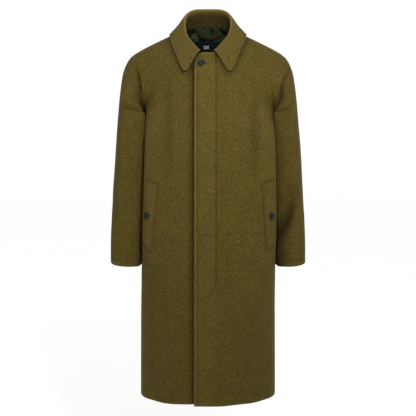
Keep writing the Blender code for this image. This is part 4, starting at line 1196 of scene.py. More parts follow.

# %% [markdown]
# ## Fronts
#
# The left front laps over the right. Its edge is stitched, and a second line that bends in to the edge holds
# the fly behind it. The columns are closest along those two lines. The top corner of the lap is rounded by
# lowering the top rows of its columns. Beside the lap the right front falls in a little, which gives the lap
# its shadow, and more shadow is painted on the wool there.

# %% Fronts
EDGE_STITCH = 0.0100  # in from the lap's edge
FLY_X = 0.0235  # the fly's line, from the centre
FLY_BEND_Z, FLY_FOOT_Z = -0.7690, -0.8245
FLY_BLEND, FLY_REACH = 0.004, 0.010
FLY_BEND_ROWS, FLY_BEND_STEPS = 15, 40
LAP_LINES = {1: (-OVERLAP, EDGE_STITCH - OVERLAP, FLY_X), -1: (-OVERLAP, OVERLAP)}
LAP_END, LAP_STEP = {1: 0.036, -1: 0.070}, {1: 0.0016, -1: 0.0040}
FRONT_FIRST, FRONT_COLUMNS = 0.004, 40  # past the end of the lap
LAP_CURL, LAP_CURL_WIDE = 0.0014, 0.010  # the lap's edge stands up a little
LAP_SHADE, LAP_SHADE_WIDE, LAP_SHADE_UNDER = 0.0095, 0.019, 0.015  # and the right front falls in beside it
FRONT_ARMPIT_FULL = 0.0016
CREASES_FROM, CREASES_OVER = 0.030, 0.030  # the lap stays flat
FRONT_CREASES = [
    Crease(-0.126, -0.130, -0.119, -0.520, 0.0062, 0.014),
    Crease(-0.098, -0.200, -0.092, -0.420, -0.0016, 0.022),
    Crease(0.146, -0.200, 0.140, -0.500, 0.0085, 0.017),
    Crease(0.108, -0.210, 0.100, -0.470, -0.0014, 0.022),
    Crease(-0.168, -0.700, -0.172, -1.520, 0.0050, 0.022),
    Crease(-0.120, -0.760, -0.118, -1.480, -0.0034, 0.030),
    Crease(0.172, -0.720, 0.178, -1.500, 0.0052, 0.024),
    Crease(0.112, -0.800, 0.120, -1.460, -0.0032, 0.030),
    Crease(0.070, -0.850, 0.062, -1.500, 0.0026, 0.024),
    Crease(-0.078, -0.820, -0.074, -1.470, 0.0024, 0.022),
]
# The rest changes looks alone. A shade here is painted shade in a hollow of the drape, and its depth is how
# much darker the wool is.
FRONT_SHADES = [
    Crease(-0.126, -0.120, -0.119, -0.540, 0.20, 0.013),
    Crease(0.143, -0.180, 0.138, -0.520, 0.34, 0.016),
    Crease(0.150, -0.840, 0.160, -1.500, 0.16, 0.040),
]
FLY_PRESSED, EDGE_LINE_SHARE, EDGE_LINE_REACH = 0.65, 0.5, 0.004
LAP_PAINTED_SHADOW, LAP_PAINTED_SHADOW_WIDE = 0.78, 0.013  # painted shadow on the cloth beside the lap
LEAF_PAINTED_SHADOW = 0.85  # and painted shadow beside the collar
EDGE_WORN, EDGE_WORN_WIDE = 0.45, 0.004
# The front's top edge is lighter: some wear, and a painted highlight where light from above falls on it.
TOP_HIGHLIGHT, TOP_HIGHLIGHT_WIDE = 1.7, 0.003
LAP_WORN, LAP_WORN_OVER = 0.10, 0.004
ARM_PAINTED_LIGHT, ARM_LIGHT_FROM_SEAM, ARM_LIGHT_WIDE = {1: 0.18, -1: 0.36}, 0.098, 0.036  # painted light on the wool beside the arms, more on the wearer's right
ARM_LIGHT_LOW, ARM_LIGHT_RISE, ARM_LIGHT_TOP, ARM_LIGHT_FALL = -32, 8, 2, 3  # levels


def front_place(level, lengths, side):
    """Points and normals of a front at lengths from the centre line, with the lap lifted or sunk."""
    points, normals = FRONT.both_ways(level, lengths)
    lap = 1 - ease((lengths - LAP_FLAT) / (LAP_FADE - LAP_FLAT))
    points = points + normals * ((LAP_LIFT if side > 0 else -LAP_SINK) * lap)[..., None]
    if side > 0:
        start = ring_level(HEM_DROP_FROM_Z)
        low = ease((start - level) / (start - FRONT.levels[0]))
        points[..., 2] -= HEM_DROP * lap * low[:, None]
    return points, normals


def corner_levels(levels, lengths):
    """Levels of the lap's columns, whose top rows come down along the rounded corner."""
    away = np.clip(1 - (lengths + OVERLAP) / CORNER_WIDE, 0, 1)
    drop = CORNER_TALL * (1 - np.sqrt(1 - away**2))
    top = centre_level(FRONT, STATIONS[-1].cf_z - drop)
    high = np.clip((levels[:, None] - CORNER_LEVEL) / (NECK_LEVEL - CORNER_LEVEL), 0, 1)
    return levels[:, None] - high * (NECK_LEVEL - top)[None, :]


def fly_bend():
    """Where the fly's line turns in to the edge, as lengths from the centre and heights."""
    turn = np.linspace(0, math.pi / 2, FLY_BEND_STEPS)
    across = FLY_X - (FLY_X + OVERLAP - EDGE_STITCH) * (1 - np.cos(turn))
    return across, FLY_BEND_Z + (FLY_FOOT_Z - FLY_BEND_Z) * np.sin(turn)


def fly_dip(lengths, z):
    """The two stitched lines of the lap."""
    dip = stitch_dip(lengths + OVERLAP - EDGE_STITCH)
    dip = dip + stitch_dip(lengths - FLY_X) * ease((z - FLY_BEND_Z + FLY_BLEND) / (2 * FLY_BLEND))
    near = (z > FLY_FOOT_Z - FLY_REACH) & (z < FLY_BEND_Z + FLY_BLEND) & (lengths < FLY_X + FLY_REACH)
    across, down = fly_bend()
    gap = np.hypot(lengths[near][:, None] - across, z[near][:, None] - down).min(axis=1)
    dip[near] += stitch_dip(gap)
    return dip


def front_grid(side):
    """Levels, lengths from the centre line, points and normals of a front, before it is mirrored."""
    bend = np.linspace(FLY_FOOT_Z - FLY_BLEND, FLY_BEND_Z, FLY_BEND_ROWS) if side > 0 else ()
    levels = body_levels(tuple(bend))
    lap = clustered(-OVERLAP, LAP_END[side], LAP_STEP[side], LAP_LINES[side])
    rest = seamward(FRONT, levels, LAP_END[side] + FRONT_FIRST, FRONT_COLUMNS)
    lengths = np.concatenate([np.tile(lap, (len(levels), 1)), rest], axis=1)
    points, normals = front_place(levels, lengths, side)
    if side > 0:
        rounded = corner_levels(levels, lap)
        for column in np.flatnonzero(lap < CORNER_WIDE - OVERLAP):
            p, n = front_place(rounded[:, column], lengths[:, column : column + 1], side)
            points[:, column], normals[:, column] = p[:, 0], n[:, 0]
    return levels, lengths, points, normals


def arm_painted_light(levels, from_seam, side):
    """Painted light on the wool beside the arm."""
    low, top = (levels - ARM_LIGHT_LOW) / ARM_LIGHT_RISE, (ARM_LIGHT_TOP - levels) / ARM_LIGHT_FALL
    beside = ARM_PAINTED_LIGHT[side] * bell(from_seam - ARM_LIGHT_FROM_SEAM, ARM_LIGHT_WIDE)
    return beside * (ease(low) * ease(top))[:, None]


def front(name, side):
    levels, lengths, points, normals = front_grid(side)
    from_seam = FRONT.length(levels)[:, None] - lengths
    from_edge, beside_lap = lengths + OVERLAP, lengths - OVERLAP
    points = ironed(points, levels, np.where(lengths > LAP_FLAT, from_seam, 0.0))
    points, normals = swayed(mirrored(points, side)), mirrored(normals, side)
    from_hem = distances_in(points, 0)
    from_top = from_hem[-1] - from_hem
    large = creased(points, FRONT_CREASES) * ease((lengths - CREASES_FROM) / CREASES_OVER)
    large = large * ease(from_seam / SEAM_CLEAR) + FRONT_ARMPIT_FULL * armpit_fill(points, from_seam)
    fine = groove(from_seam) + edge_round(from_hem) + edge_round(from_top) + edge_round(from_edge)
    # Worn places, plus a painted highlight on the top edge and painted light beside the arm.
    worn_and_painted_light = hem_worn(from_hem) + EDGE_WORN * bell(from_edge, EDGE_WORN_WIDE)
    worn_and_painted_light = worn_and_painted_light + TOP_HIGHLIGHT * bell(from_top, TOP_HIGHLIGHT_WIDE) + arm_painted_light(levels, from_seam, side)
    # Painted shadow beside the collar's leaf, and painted shade in the hollows of the drape.
    pressed_and_painted_shade = seam_pressed(from_seam) * up_raglan(levels) + LEAF_PAINTED_SHADOW * beside_collar(points)
    pressed_and_painted_shade = pressed_and_painted_shade + np.abs(creased(points, FRONT_SHADES))
    if side > 0:
        lines = fly_dip(lengths, points[..., 2])
        fine = fine + lines
        large = large + LAP_CURL * bell(from_edge, LAP_CURL_WIDE)
        share = np.where(from_edge < EDGE_STITCH + EDGE_LINE_REACH, EDGE_LINE_SHARE, 1.0)
        pressed_and_painted_shade = pressed_and_painted_shade - FLY_PRESSED * share * lines / STITCH_SINK
        worn_and_painted_light = worn_and_painted_light + LAP_WORN * ease((FLY_X - lengths) / LAP_WORN_OVER)
    else:
        reach = np.where(beside_lap < 0, LAP_SHADE_UNDER, LAP_SHADE_WIDE)
        large = large - LAP_SHADE * bell(beside_lap, reach)
        # Painted shadow of the lap on the right front.
        pressed_and_painted_shade = pressed_and_painted_shade + LAP_PAINTED_SHADOW * bell(np.maximum(beside_lap, 0), LAP_PAINTED_SHADOW_WIDE)
    outer, inner = two_faces(points, normals, large, fine)
    uv = np.stack([lengths, from_hem], axis=2)
    made = wall(name + "_cloth", outer, slanted(inner, from_seam, -1), ["olive_wool"], "coating", uv,
                (HEM_BULGE, 0, HEM_BULGE, HEM_BULGE), worn_and_painted_light, side, pressed_and_painted_shade)
    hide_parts(name)
    return outer, normals, lengths, levels


left_front, left_out, left_lengths, left_levels = front("front_left", 1)
front("front_right", -1)

# %% [markdown]
# The fly's stitches follow the grid's own columns, and the bend is worked out on the surface.

# %% Front stitching
LINE_END = 0.15  # levels that a line stops before an edge
EDGE_LINE_TOP = 8.6  # the level where the edge's line meets the rounded corner


def front_stitching():
    places = (EDGE_STITCH - OVERLAP, FLY_X)
    edge_column, fly_column = (int(np.argmin(np.abs(left_lengths[0] - x))) for x in places)
    above = (left_front[:, fly_column, 2] > FLY_BEND_Z) & (left_levels < NECK_LEVEL - LINE_END)
    whole = (left_levels < EDGE_LINE_TOP) & (left_levels > left_levels[0] + LINE_END)
    across, down = fly_bend()
    points, normals = front_place(ring_level(down), across[:, None], 1)
    lines = [(left_front[rows, column], left_out[rows, column])
             for rows, column in ((whole, edge_column), (above, fly_column))]
    sew("stitches_front", [*lines, (points[:, 0] - normals[:, 0] * STITCH_SINK, normals[:, 0])])


front_stitching()

# %% [markdown]
# ## Back
#
# The photo does not show the back, so it is one plain panel with folds like those of the front: two long
# ones that fall from the shoulder blades and some shallow ones that open towards the hem.

# %% Back
BACK_CREASES = [
    Crease(-0.096, -0.130, -0.128, -0.760, 0.0048, 0.022),
    Crease(-0.060, -0.160, -0.074, -0.640, -0.0026, 0.026),
    Crease(0.102, -0.140, 0.120, -0.700, 0.0044, 0.020),
    Crease(0.064, -0.150, 0.070, -0.700, -0.0026, 0.028),
    Crease(-0.112, -0.640, -0.128, -1.520, 0.0060, 0.026),
    Crease(-0.050, -0.620, -0.046, -1.540, -0.0042, 0.032),
    Crease(0.024, -0.680, 0.020, -1.500, 0.0050, 0.030),
    Crease(0.096, -0.600, 0.104, -1.520, -0.0044, 0.030),
    Crease(0.160, -0.700, 0.168, -1.480, 0.0052, 0.024),
    Crease(-0.176, -0.720, -0.180, -1.500, 0.0040, 0.022),
]
BACK_COLUMNS = 42
BACK_CREASE_LEVELS = 3  # the folds run out below the neck
BACK_RAGLAN_LEVELS = 0.8  # the seam shows soon above the armpit


def back_place(level, lengths, inset=0.0):
    """Points and normals of the back at lengths left (+) or right (-) of the centre line, moved in."""
    points, normals = BACK.both_ways(level, lengths)
    return points - normals * inset, normals


def back():
    levels = body_levels()
    half = seamward(BACK, levels, 0.0, BACK_COLUMNS)
    lengths = np.concatenate([-half[:, :0:-1], half], axis=1)
    points, normals = back_place(levels, lengths)
    from_seam = BACK.length(levels)[:, None] - np.abs(lengths)
    points = swayed(ironed(points, levels, from_seam))
    from_hem = distances_in(points, 0)
    below_neck = ease((NECK_LEVEL - levels) / BACK_CREASE_LEVELS)[:, None]
    large = creased(points, BACK_CREASES) * ease(from_seam / SEAM_CLEAR) * below_neck
    outer, inner = two_faces(points, normals, large, groove(from_seam) + edge_round(from_hem))
    inner = slanted(inner, from_seam, np.sign(lengths))
    uv = np.stack([lengths, from_hem], axis=2)
    pressed_and_painted_shade = seam_pressed(from_seam) * ease(levels / BACK_RAGLAN_LEVELS)[:, None]
    made = wall("back_panel", outer, inner, ["olive_wool"], "coating", uv, (HEM_BULGE, 0, 0, 0),
                hem_worn(from_hem), -1, pressed_and_painted_shade)
    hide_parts("back")


back()

# %% [markdown]
# ## Sleeves
#
# Each raglan sleeve is two halves joined along the shoulder and under the arm. The fold that rises from the
# armpit is the coat's strongest shape: its inner side is steep and its outer side runs out slowly. The
# wearer's left arm is bent a little more, so that sleeve has a deeper trough inside the elbow. Shade is
# painted on the wool in the fold and in the trough. The inner part of both fronts fills out against the body.

# %% Sleeves
Fold = namedtuple("Fold", "z left right depth")
ARM_FOLD = [
    Fold(-0.290, 0.2035, 0.1930, 0.000),
    Fold(-0.262, 0.2049, 0.1935, 0.006),
    Fold(-0.240, 0.2105, 0.1968, 0.011),
    Fold(-0.214, 0.2160, 0.2008, 0.013),
    Fold(-0.180, 0.2228, 0.2058, 0.013),
    Fold(-0.156, 0.2367, 0.2103, 0.011),
    Fold(-0.138, 0.2490, 0.2172, 0.006),
    Fold(-0.116, 0.2630, 0.2260, 0.000),
]
FOLD_STEEP, FOLD_SHARP, FOLD_EASY, FOLD_SHARP_SHARE = 0.0026, 0.0075, 0.024, 0.6  # its two sides
FOLD_SEAM, FOLD_RIDGE = 0.012, 0.035  # it runs out this far from the two seams
FOLD_LIP, FOLD_LIP_OFF, FOLD_LIP_WIDE = 0.0018, 0.007, 0.005  # a small ridge before the fold
FOLD_LINE, FOLD_SHADE, FOLD_FULL_DARK = 0.0012, 0.0065, 1.25  # the painted shade that starts in it
FOLD_PAINTED_SHADE = {1: 0.75, -1: 1.0}
Press = namedtuple("Press", "level out")
PRESSED = [
    Press(-26.0, 0.0070),
    Press(-20.0, 0.0140),
    Press(-13.0, 0.0140),
    Press(-7.0, 0.0168),
    Press(-2.0, 0.0210),
    Press(0.0, 0.0224),
    Press(1.2, 0.0154),
    Press(2.4, 0.0042),
    Press(3.4, 0.0000),
]
PRESS_FROM_SEAM, PRESS_WIDE = 0.048, 0.028
TROUGH_LEVELS, TROUGH_ACROSS = (-13.0, -24.0), (0.66, 0.10)
# The trough also gets painted shade, and TROUGH_SHADES paints more along it; there the depth is how much
# darker the wool is.
TROUGH_DEPTH, TROUGH_WIDTH, TROUGH_PAINTED_SHADE = 0.016, 0.021, 0.62
TROUGH_SHADES = [
    Crease(0.272, -0.440, 0.230, -0.665, 0.42, 0.017),
    Crease(0.232, -0.570, 0.217, -0.860, 0.62, 0.017),
]
SLEEVE_ARMPIT_FULL = 0.0030
SLEEVE_PANELS = {"front": SLEEVE_FRONT, "back": SLEEVE_BACK}
SLEEVE_ROWS, SLEEVE_COLUMNS = 56, {"front": 84, "back": 28}
RIDGE_COLUMNS, RIDGE_FIRST = vec(0.0002, 0.0008, 0.0016, 0.0028, 0.0046), 0.0072  # from the overarm seam
CUFF_STITCH, CUFF_COLUMN = 0.020, 20
TOPSTITCH_PRESSED, TOPSTITCH_FROM_LEVEL = 0.24, 0.9
LAP_RIDGE_WORN, LAP_RIDGE_WIDE = 0.5, 0.0018
SLEEVE_CREASES = {
    ("left", "front"): [
        Crease(0.240, -0.330, 0.262, -0.420, 0.0022, 0.010),
        Crease(0.232, -0.470, 0.262, -0.560, 0.0030, 0.012),
        Crease(0.290, -0.560, 0.262, -0.640, -0.0022, 0.014),
        Crease(0.276, -0.300, 0.284, -0.480, -0.0016, 0.014),
    ],
    ("right", "front"): [
        Crease(-0.236, -0.360, -0.268, -0.450, 0.0020, 0.011),
        Crease(-0.228, -0.500, -0.264, -0.600, 0.0026, 0.014),
        Crease(-0.284, -0.470, -0.262, -0.560, -0.0018, 0.016),
        Crease(-0.262, -0.620, -0.270, -0.715, 0.0014, 0.014),
    ],
    ("left", "back"): [
        Crease(0.226, -0.300, 0.262, -0.400, 0.0034, 0.012),
        Crease(0.222, -0.430, 0.286, -0.470, 0.0030, 0.011),
        Crease(0.220, -0.490, 0.284, -0.520, 0.0032, 0.010),
        Crease(0.226, -0.560, 0.280, -0.640, 0.0022, 0.014),
    ],
    ("right", "back"): [
        Crease(-0.224, -0.290, -0.258, -0.390, 0.0030, 0.012),
        Crease(-0.224, -0.440, -0.284, -0.490, 0.0032, 0.011),
        Crease(-0.222, -0.515, -0.286, -0.535, 0.0026, 0.010),
        Crease(-0.228, -0.580, -0.276, -0.660, 0.0020, 0.014),
    ],
}


def arm_fold(points, lengths, ends, side):
    """How far the armpit fold moves that side's sleeve in, at points of the left one, and how much shade is
    painted in it.
    """
    knots = [fold.z for fold in ARM_FOLD]
    reach = [fold.left if side > 0 else fold.right for fold in ARM_FOLD]
    z = points[..., 2].ravel()
    off = points[..., 0] - smooth_through(knots, reach, z).reshape(lengths.shape)
    depth = smooth_through(knots, [fold.depth for fold in ARM_FOLD], z).reshape(lengths.shape)
    held = depth * ease(lengths / FOLD_SEAM) * ease((ends - lengths) / FOLD_RIDGE)
    share = held / max(fold.depth for fold in ARM_FOLD)
    valley = FOLD_SHARP_SHARE * bell(off, FOLD_SHARP) + (1 - FOLD_SHARP_SHARE) * bell(off, FOLD_EASY)
    lip = FOLD_LIP * share * bell(off + FOLD_LIP_OFF, FOLD_LIP_WIDE)
    fold = held * np.where(off < 0, bell(off, FOLD_STEEP), valley) - lip
    line = np.where(off < 0, bell(off, FOLD_LINE), np.exp(-np.maximum(off, 0) / FOLD_SHADE))
    return fold, np.minimum(FOLD_FULL_DARK * share, 1) * line


def pressed_out(levels, lengths):
    """How far the inner part of the sleeve's front fills out against the body."""
    out = smooth_through([press.level for press in PRESSED], [press.out for press in PRESSED], levels)
    return out[:, None] * bell(lengths - PRESS_FROM_SEAM, PRESS_WIDE) * ease(lengths / PRESS_FROM_SEAM)


def elbow_trough(levels, lengths, ends):
    """How deep the trough inside the elbow is, from 0 to 1."""
    along = (levels - TROUGH_LEVELS[0]) / (TROUGH_LEVELS[1] - TROUGH_LEVELS[0])
    place = TROUGH_ACROSS[0] + (TROUGH_ACROSS[1] - TROUGH_ACROSS[0]) * along
    deep = np.sin(math.pi * np.clip(along, 0, 1)) ** 2
    return deep[:, None] * bell(lengths - place[:, None] * ends, TROUGH_WIDTH)


def front_folds(levels, lengths, ends, points, side):
    """How far the large folds of a sleeve's front move it out, and how much shade is painted on the wool in
    them.
    """
    fold, line = arm_fold(points, lengths, ends, side)
    out = pressed_out(levels, lengths) - fold + SLEEVE_ARMPIT_FULL * armpit_fill(points, lengths)
    dark = FOLD_PAINTED_SHADE[side] * line
    if side > 0:
        trough = elbow_trough(levels, lengths, ends)
        out = out - TROUGH_DEPTH * trough
        dark = dark + TROUGH_PAINTED_SHADE * trough - creased(swayed(points), TROUGH_SHADES)
    return out, dark


def sleeve_levels():
    low = SLEEVE_FRONT.levels[0] * SLEEVE_PITCH
    below = clustered(low, 0.0, STEP, (low, low + CUFF_STITCH)) / SLEEVE_PITCH
    return np.concatenate([below, np.linspace(0, NECK_LEVEL, SLEEVE_ROWS)[1:]])


def sleeve(word, half):
    side, panel = SIDES[word], SLEEVE_PANELS[half]
    levels = sleeve_levels()
    ends = panel.length(levels)[:, None]
    ridge = np.tile(RIDGE_COLUMNS, (len(levels), 1))
    run = np.concatenate([ridge, seamward(panel, levels, RIDGE_FIRST, SLEEVE_COLUMNS[half])], axis=1)
    lengths = ends - run[:, ::-1]
    from_seam = np.minimum(lengths, ends - lengths)
    u = panel.shares(levels, lengths)
    points, normals = ironed(panel.at(levels, u), levels, from_seam), panel.normals(levels, u)
    large, dark = np.zeros((2, *lengths.shape))
    if half == "front":
        large, dark = front_folds(levels, lengths, ends, points, side)
    points, normals = swayed(mirrored(points, side)), mirrored(normals, side)
    clear = ease(lengths / SEAM_CLEAR) * ease((ends - lengths) / SEAM_CLEAR)
    large = large + creased(points, SLEEVE_CREASES[word, half]) * clear
    from_cuff, raglan = distances_in(points, 0), up_raglan(levels)
    fine = groove(lengths) + lapped(lengths) * raglan + groove(ends - lengths)
    fine = fine + edge_round(from_cuff) + stitch_dip(from_cuff - CUFF_STITCH)
    outer, inner = two_faces(points, normals, large, fine)
    inner = slanted(inner, from_seam, -1 if half == "front" else 1)
    pressed_and_painted_shade = seam_pressed(lengths) + TOPSTITCH_PRESSED * bell(lengths - TOPSTITCH, STITCH_PRESSED_WIDE)
    pressed_and_painted_shade = pressed_and_painted_shade * raglan + stitch_pressed(from_cuff - CUFF_STITCH)
    # dark holds the painted shade of the folds; the collar's leaf adds a painted shadow.
    pressed_and_painted_shade = pressed_and_painted_shade + dark + LEAF_PAINTED_SHADOW * beside_collar(points)
    worn_and_painted_light = hem_worn(from_cuff) + LAP_RIDGE_WORN * bell(lengths - TOPSTITCH / 2, LAP_RIDGE_WIDE) * raglan
    uv = np.stack([lengths, from_cuff], axis=2)
    name = f"sleeve_{word}_{half}"
    made = wall(name + "_cloth", outer, inner, ["olive_wool"], "coating", uv, (HEM_BULGE, 0, 0, 0),
                worn_and_painted_light, side if half == "front" else -side, pressed_and_painted_shade)
    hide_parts(name)
    column = int(np.argmin(np.abs(lengths[-1] - TOPSTITCH)))
    row = int(np.argmin(np.abs(from_cuff[:, CUFF_COLUMN] - CUFF_STITCH)))
    up = levels > TOPSTITCH_FROM_LEVEL
    return [(outer[up, column], normals[up, column]), (outer[row], normals[row])]


for word in SIDES:
    lines = sleeve(word, "front") + sleeve(word, "back")
    sew(f"stitches_sleeve_{word}", lines)

# %% [markdown]
# ## Welts
#
# A welt is a stiff strip sewn on over the pocket's mouth, along its inner edge and its two ends. Its outer
# edge is the free one. It is built on the front's own points, moved out by its thickness, and stitched
# inside its edges.

# %% Welts
WELT_CLOTH = 0.0030
WELT_LOW, WELT_TOP = vec(0.170, -0.687), vec(0.152, -0.4840)  # x and z of the sewn edge's ends
WELT_WIDTH = 0.048
WELT_LOW_SLOPE, WELT_TOP_SLOPE = 0.024, 0.0185  # how much higher the ends are at the outer edge
WELT_STITCH = 0.0056
WELT_ROW, WELT_COLUMN = 0.005, 0.004
WELT_FULL, WELT_FULL_WIDE = 0.0006, 0.008
WELT_RIMS = (0.0004, 0.0008, 0.0004, 0.0004)
# The welt's sewn edge and ends are darker: the nap is pressed there, and a shadow line is painted along them.
WELT_SEAM_PRESSED_AND_SHADOW, WELT_SEAM_WIDE = 0.70, 0.0015
WELT_END_PRESSED_AND_SHADOW, WELT_END_WIDE = 0.80, 0.0028
WELT_STITCH_WIDE = 0.0014
# Both welts are a little worn, and the wearer's right one also gets painted light.
WELT_WORN_AND_LIT = {1: 0.08, -1: 0.24}
SEARCH_SHARE = 0.75  # of a section, from the centre, where x only grows


def welt_base(along, across):
    """Points and normals of the front under the welt, at shares along it and across it."""
    points, normals = np.zeros((2, len(along), len(across), 3))
    sewn = WELT_LOW + (WELT_TOP - WELT_LOW) * along[:, None]
    slope = WELT_LOW_SLOPE + (WELT_TOP_SLOPE - WELT_LOW_SLOPE) * along
    for column, share in enumerate(across):
        levels = ring_level(sewn[:, 1] + slope * share)
        dense, runs = FRONT.runs(levels)
        lines = FRONT.at(levels, np.tile(dense, (len(levels), 1)))
        reach = int(SEARCH_SHARE * len(dense))
        start = [np.interp(x, line[:reach, 0], run[:reach]) for x, line, run in zip(sewn[:, 0], lines, runs)]
        p, n = front_place(levels, np.array(start)[:, None] + WELT_WIDTH * share, -1)
        points[:, column], normals[:, column] = p[:, 0], n[:, 0]
    return points, normals


def welt_places(long, step):
    """Places along one side of a welt, and the two of them where the stitching runs."""
    lines = (WELT_STITCH, long - WELT_STITCH)
    places = clustered(0, long, step, (0, *lines, long))
    return places, [int(np.argmin(np.abs(places - line))) for line in lines]


def welt(word):
    side, long = SIDES[word], math.hypot(*(WELT_TOP - WELT_LOW))
    (along, rows), (across, columns) = welt_places(long, WELT_ROW), welt_places(WELT_WIDTH, WELT_COLUMN)
    points, normals = welt_base(along / long, across / WELT_WIDTH)
    points, normals = swayed(mirrored(points, side)), mirrored(normals, side)
    low, sewn = along[:, None], across[None, :]
    to_end = np.minimum(low, long - low)
    to_edge = np.minimum(to_end, np.minimum(sewn, WELT_WIDTH - sewn))
    fine = stitch_dip(to_edge - WELT_STITCH) + edge_round(to_edge)
    fine = fine + WELT_FULL * ease((to_edge - WELT_STITCH) / WELT_FULL_WIDE)
    outer = points + normals * (LAYER_GAP + WELT_CLOTH + fine)[..., None]
    inner = points + normals * LAYER_GAP
    pressed_and_painted_shade = np.maximum(WELT_SEAM_PRESSED_AND_SHADOW * bell(sewn, WELT_SEAM_WIDE),
                         WELT_END_PRESSED_AND_SHADOW * bell(to_end, WELT_END_WIDE))
    pressed_and_painted_shade = pressed_and_painted_shade + STITCH_PRESSED * bell(to_edge - WELT_STITCH, WELT_STITCH_WIDE)
    uv = np.stack(np.broadcast_arrays(sewn, low), axis=2)
    made = wall(f"welt_{word}_cloth", outer, inner, ["olive_wool"], "coating", uv, WELT_RIMS,
                np.full(to_edge.shape, WELT_WORN_AND_LIT[side]), side, pressed_and_painted_shade)
    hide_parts(f"welt_{word}")
    down, over = slice(rows[0], rows[1] + 1), slice(columns[0], columns[1] + 1)
    places = [(row, over) for row in rows] + [(down, column) for column in columns]
    sew(f"stitches_welt_{word}", [(outer[at], normals[at]) for at in places])


for word in SIDES:
    welt(word)

# %% [markdown]
# ## Buttons
#
# A turned button is a profile spun about its axis, with four holes drilled through. Two bars of thread hold
# it.

# %% Buttons
BUTTON_RADIUS, BUTTON_HEIGHT = 0.0103, 0.0036
HOLE_RADIUS, HOLE_OFFSET = 0.0009, 0.0024
Turned = namedtuple("Turned", "radius height")
BUTTON_PROFILE = [
    Turned(0.00, 0.55),
    Turned(0.42, 0.58),
    Turned(0.62, 0.72),
    Turned(0.78, 0.98),
    Turned(0.90, 1.00),
    Turned(0.98, 0.80),
    Turned(1.00, 0.52),
    Turned(0.94, 0.20),
    Turned(0.80, 0.00),
    Turned(0.00, 0.00),
]
BUTTON_STEPS, PROFILE_STEPS, DRILL_STEPS = 40, 37, 12
BUTTON_SHARP = math.radians(50)
BAR_PITCH, BAR_RADIUS, BAR_OVER, BAR_HEIGHT = 0.00042, 0.00034, 0.0006, 0.57  # bars of thread
COLLAR_BUTTON_X, COLLAR_BUTTON_Z = -0.020, -0.127
WELT_BUTTON_ALONG, WELT_BUTTON_ACROSS = 0.478, {"left": 0.51, "right": 0.58}


def button_shape():
    """Points and faces of a button about +Z, without its holes."""
    table = np.array(BUTTON_PROFILE)
    profile = smooth_through(np.arange(len(table)), table, np.linspace(0, len(table) - 1, PROFILE_STEPS))
    profile = np.maximum(profile, 0.0) * vec(BUTTON_RADIUS, BUTTON_HEIGHT)
    angles = 2 * math.pi * np.arange(BUTTON_STEPS) / BUTTON_STEPS
    points = [(0.0, 0.0, profile[0, 1])]
    for radius, height in profile[1:-1]:
        points += [(radius * math.cos(a), radius * math.sin(a), height) for a in angles]
    points.append((0.0, 0.0, 0.0))
    faces = []
    for k in range(BUTTON_STEPS):
        after = (k + 1) % BUTTON_STEPS
        faces.append((0, 1 + k, 1 + after))
        for ring in range(len(profile) - 3):
            a, b = 1 + ring * BUTTON_STEPS, 1 + (ring + 1) * BUTTON_STEPS
            faces.append((a + k, b + k, b + after, a + after))
        last = 1 + (len(profile) - 3) * BUTTON_STEPS
        faces.append((last + k, len(points) - 1, last + after))
    return points, faces


def drill():
    """Four round pins to cut from a button."""
    points, faces = [], []
    for quarter in range(4):
        spot = Matrix.Rotation(math.pi / 4 + quarter * math.pi / 2, 3, "Z") @ Vector((HOLE_OFFSET, 0, 0))
        low = len(points)
        high = low + DRILL_STEPS
        for height in (-BUTTON_HEIGHT, 2 * BUTTON_HEIGHT):
            for k in range(DRILL_STEPS):
                angle = 2 * math.pi * k / DRILL_STEPS
                x, y = HOLE_RADIUS * math.cos(angle), HOLE_RADIUS * math.sin(angle)
                points.append((spot.x + x, spot.y + y, height))
        for k in range(DRILL_STEPS):
            after = (k + 1) % DRILL_STEPS
            faces.append((low + k, low + after, high + after, high + k))
        faces.append(tuple(range(high - 1, low - 1, -1)))
        faces.append(tuple(range(high, high + DRILL_STEPS)))
    return points, faces


def drilled_button():
    """The mesh of a button with its holes cut."""
    made = []
    for name, (points, faces) in (("button_blank", button_shape()), ("button_drill", drill())):
        data = bpy.data.meshes.new(name)
        data.from_pydata(points, [], faces)
        made.append(bpy.data.objects.new(name, data))
        scene.collection.objects.link(made[-1])
    cut = made[0].modifiers.new("holes", "BOOLEAN")
    cut.object = made[1]
    bpy.context.view_layer.update()
    whole = bpy.data.meshes.new_from_object(made[0].evaluated_get(bpy.context.evaluated_depsgraph_get()))
    for tool in made:
        bpy.data.objects.remove(tool)
    points = np.array([v.co[:] for v in whole.vertices])
    faces = [tuple(f.vertices) for f in whole.polygons]
    return points, faces


BUTTON = drilled_button()


def button(name, point, normal):
    turn = np.array(Vector(normal).to_track_quat("Z", "Y").to_matrix())
    made = piece(name + "_horn", BUTTON[0] @ turn.T + point, BUTTON[1], ["dark_horn"], "horn")
    made.data.set_sharp_from_angle(angle=BUTTON_SHARP)
    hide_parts(name)
    offset = HOLE_OFFSET * math.sqrt(0.5)
    heights = [y + step * BAR_PITCH for y in (-offset, offset) for step in (-1, 0, 1)]
    places = np.array([vec(0.0, y, BAR_HEIGHT * BUTTON_HEIGHT) for y in heights]) @ turn.T + point
    ways = np.tile(turn[:, 0], (len(places), 1))
    ups = np.tile(normal, (len(places), 1))
    thread_mesh(name + "_thread", places, ways, ups, 2 * offset + BAR_OVER, BAR_RADIUS, "buttonhole_silk")


def all_buttons():
    level = centre_level(FRONT, vec(COLLAR_BUTTON_Z))
    points, normals = front_place(level, vec(COLLAR_BUTTON_X)[None, :], 1)
    button("button_collar", points[0, 0] + normals[0, 0] * LAYER_GAP, normals[0, 0])
    height = 3 * LAYER_GAP + WELT_CLOTH
    for word, side in SIDES.items():
        points, normals = welt_base(vec(WELT_BUTTON_ALONG), vec(WELT_BUTTON_ACROSS[word]))
        point, normal = swayed(mirrored(points[0, 0], side)), mirrored(normals[0, 0], side)
        button("button_welt_" + word, point + normal * height, normal)


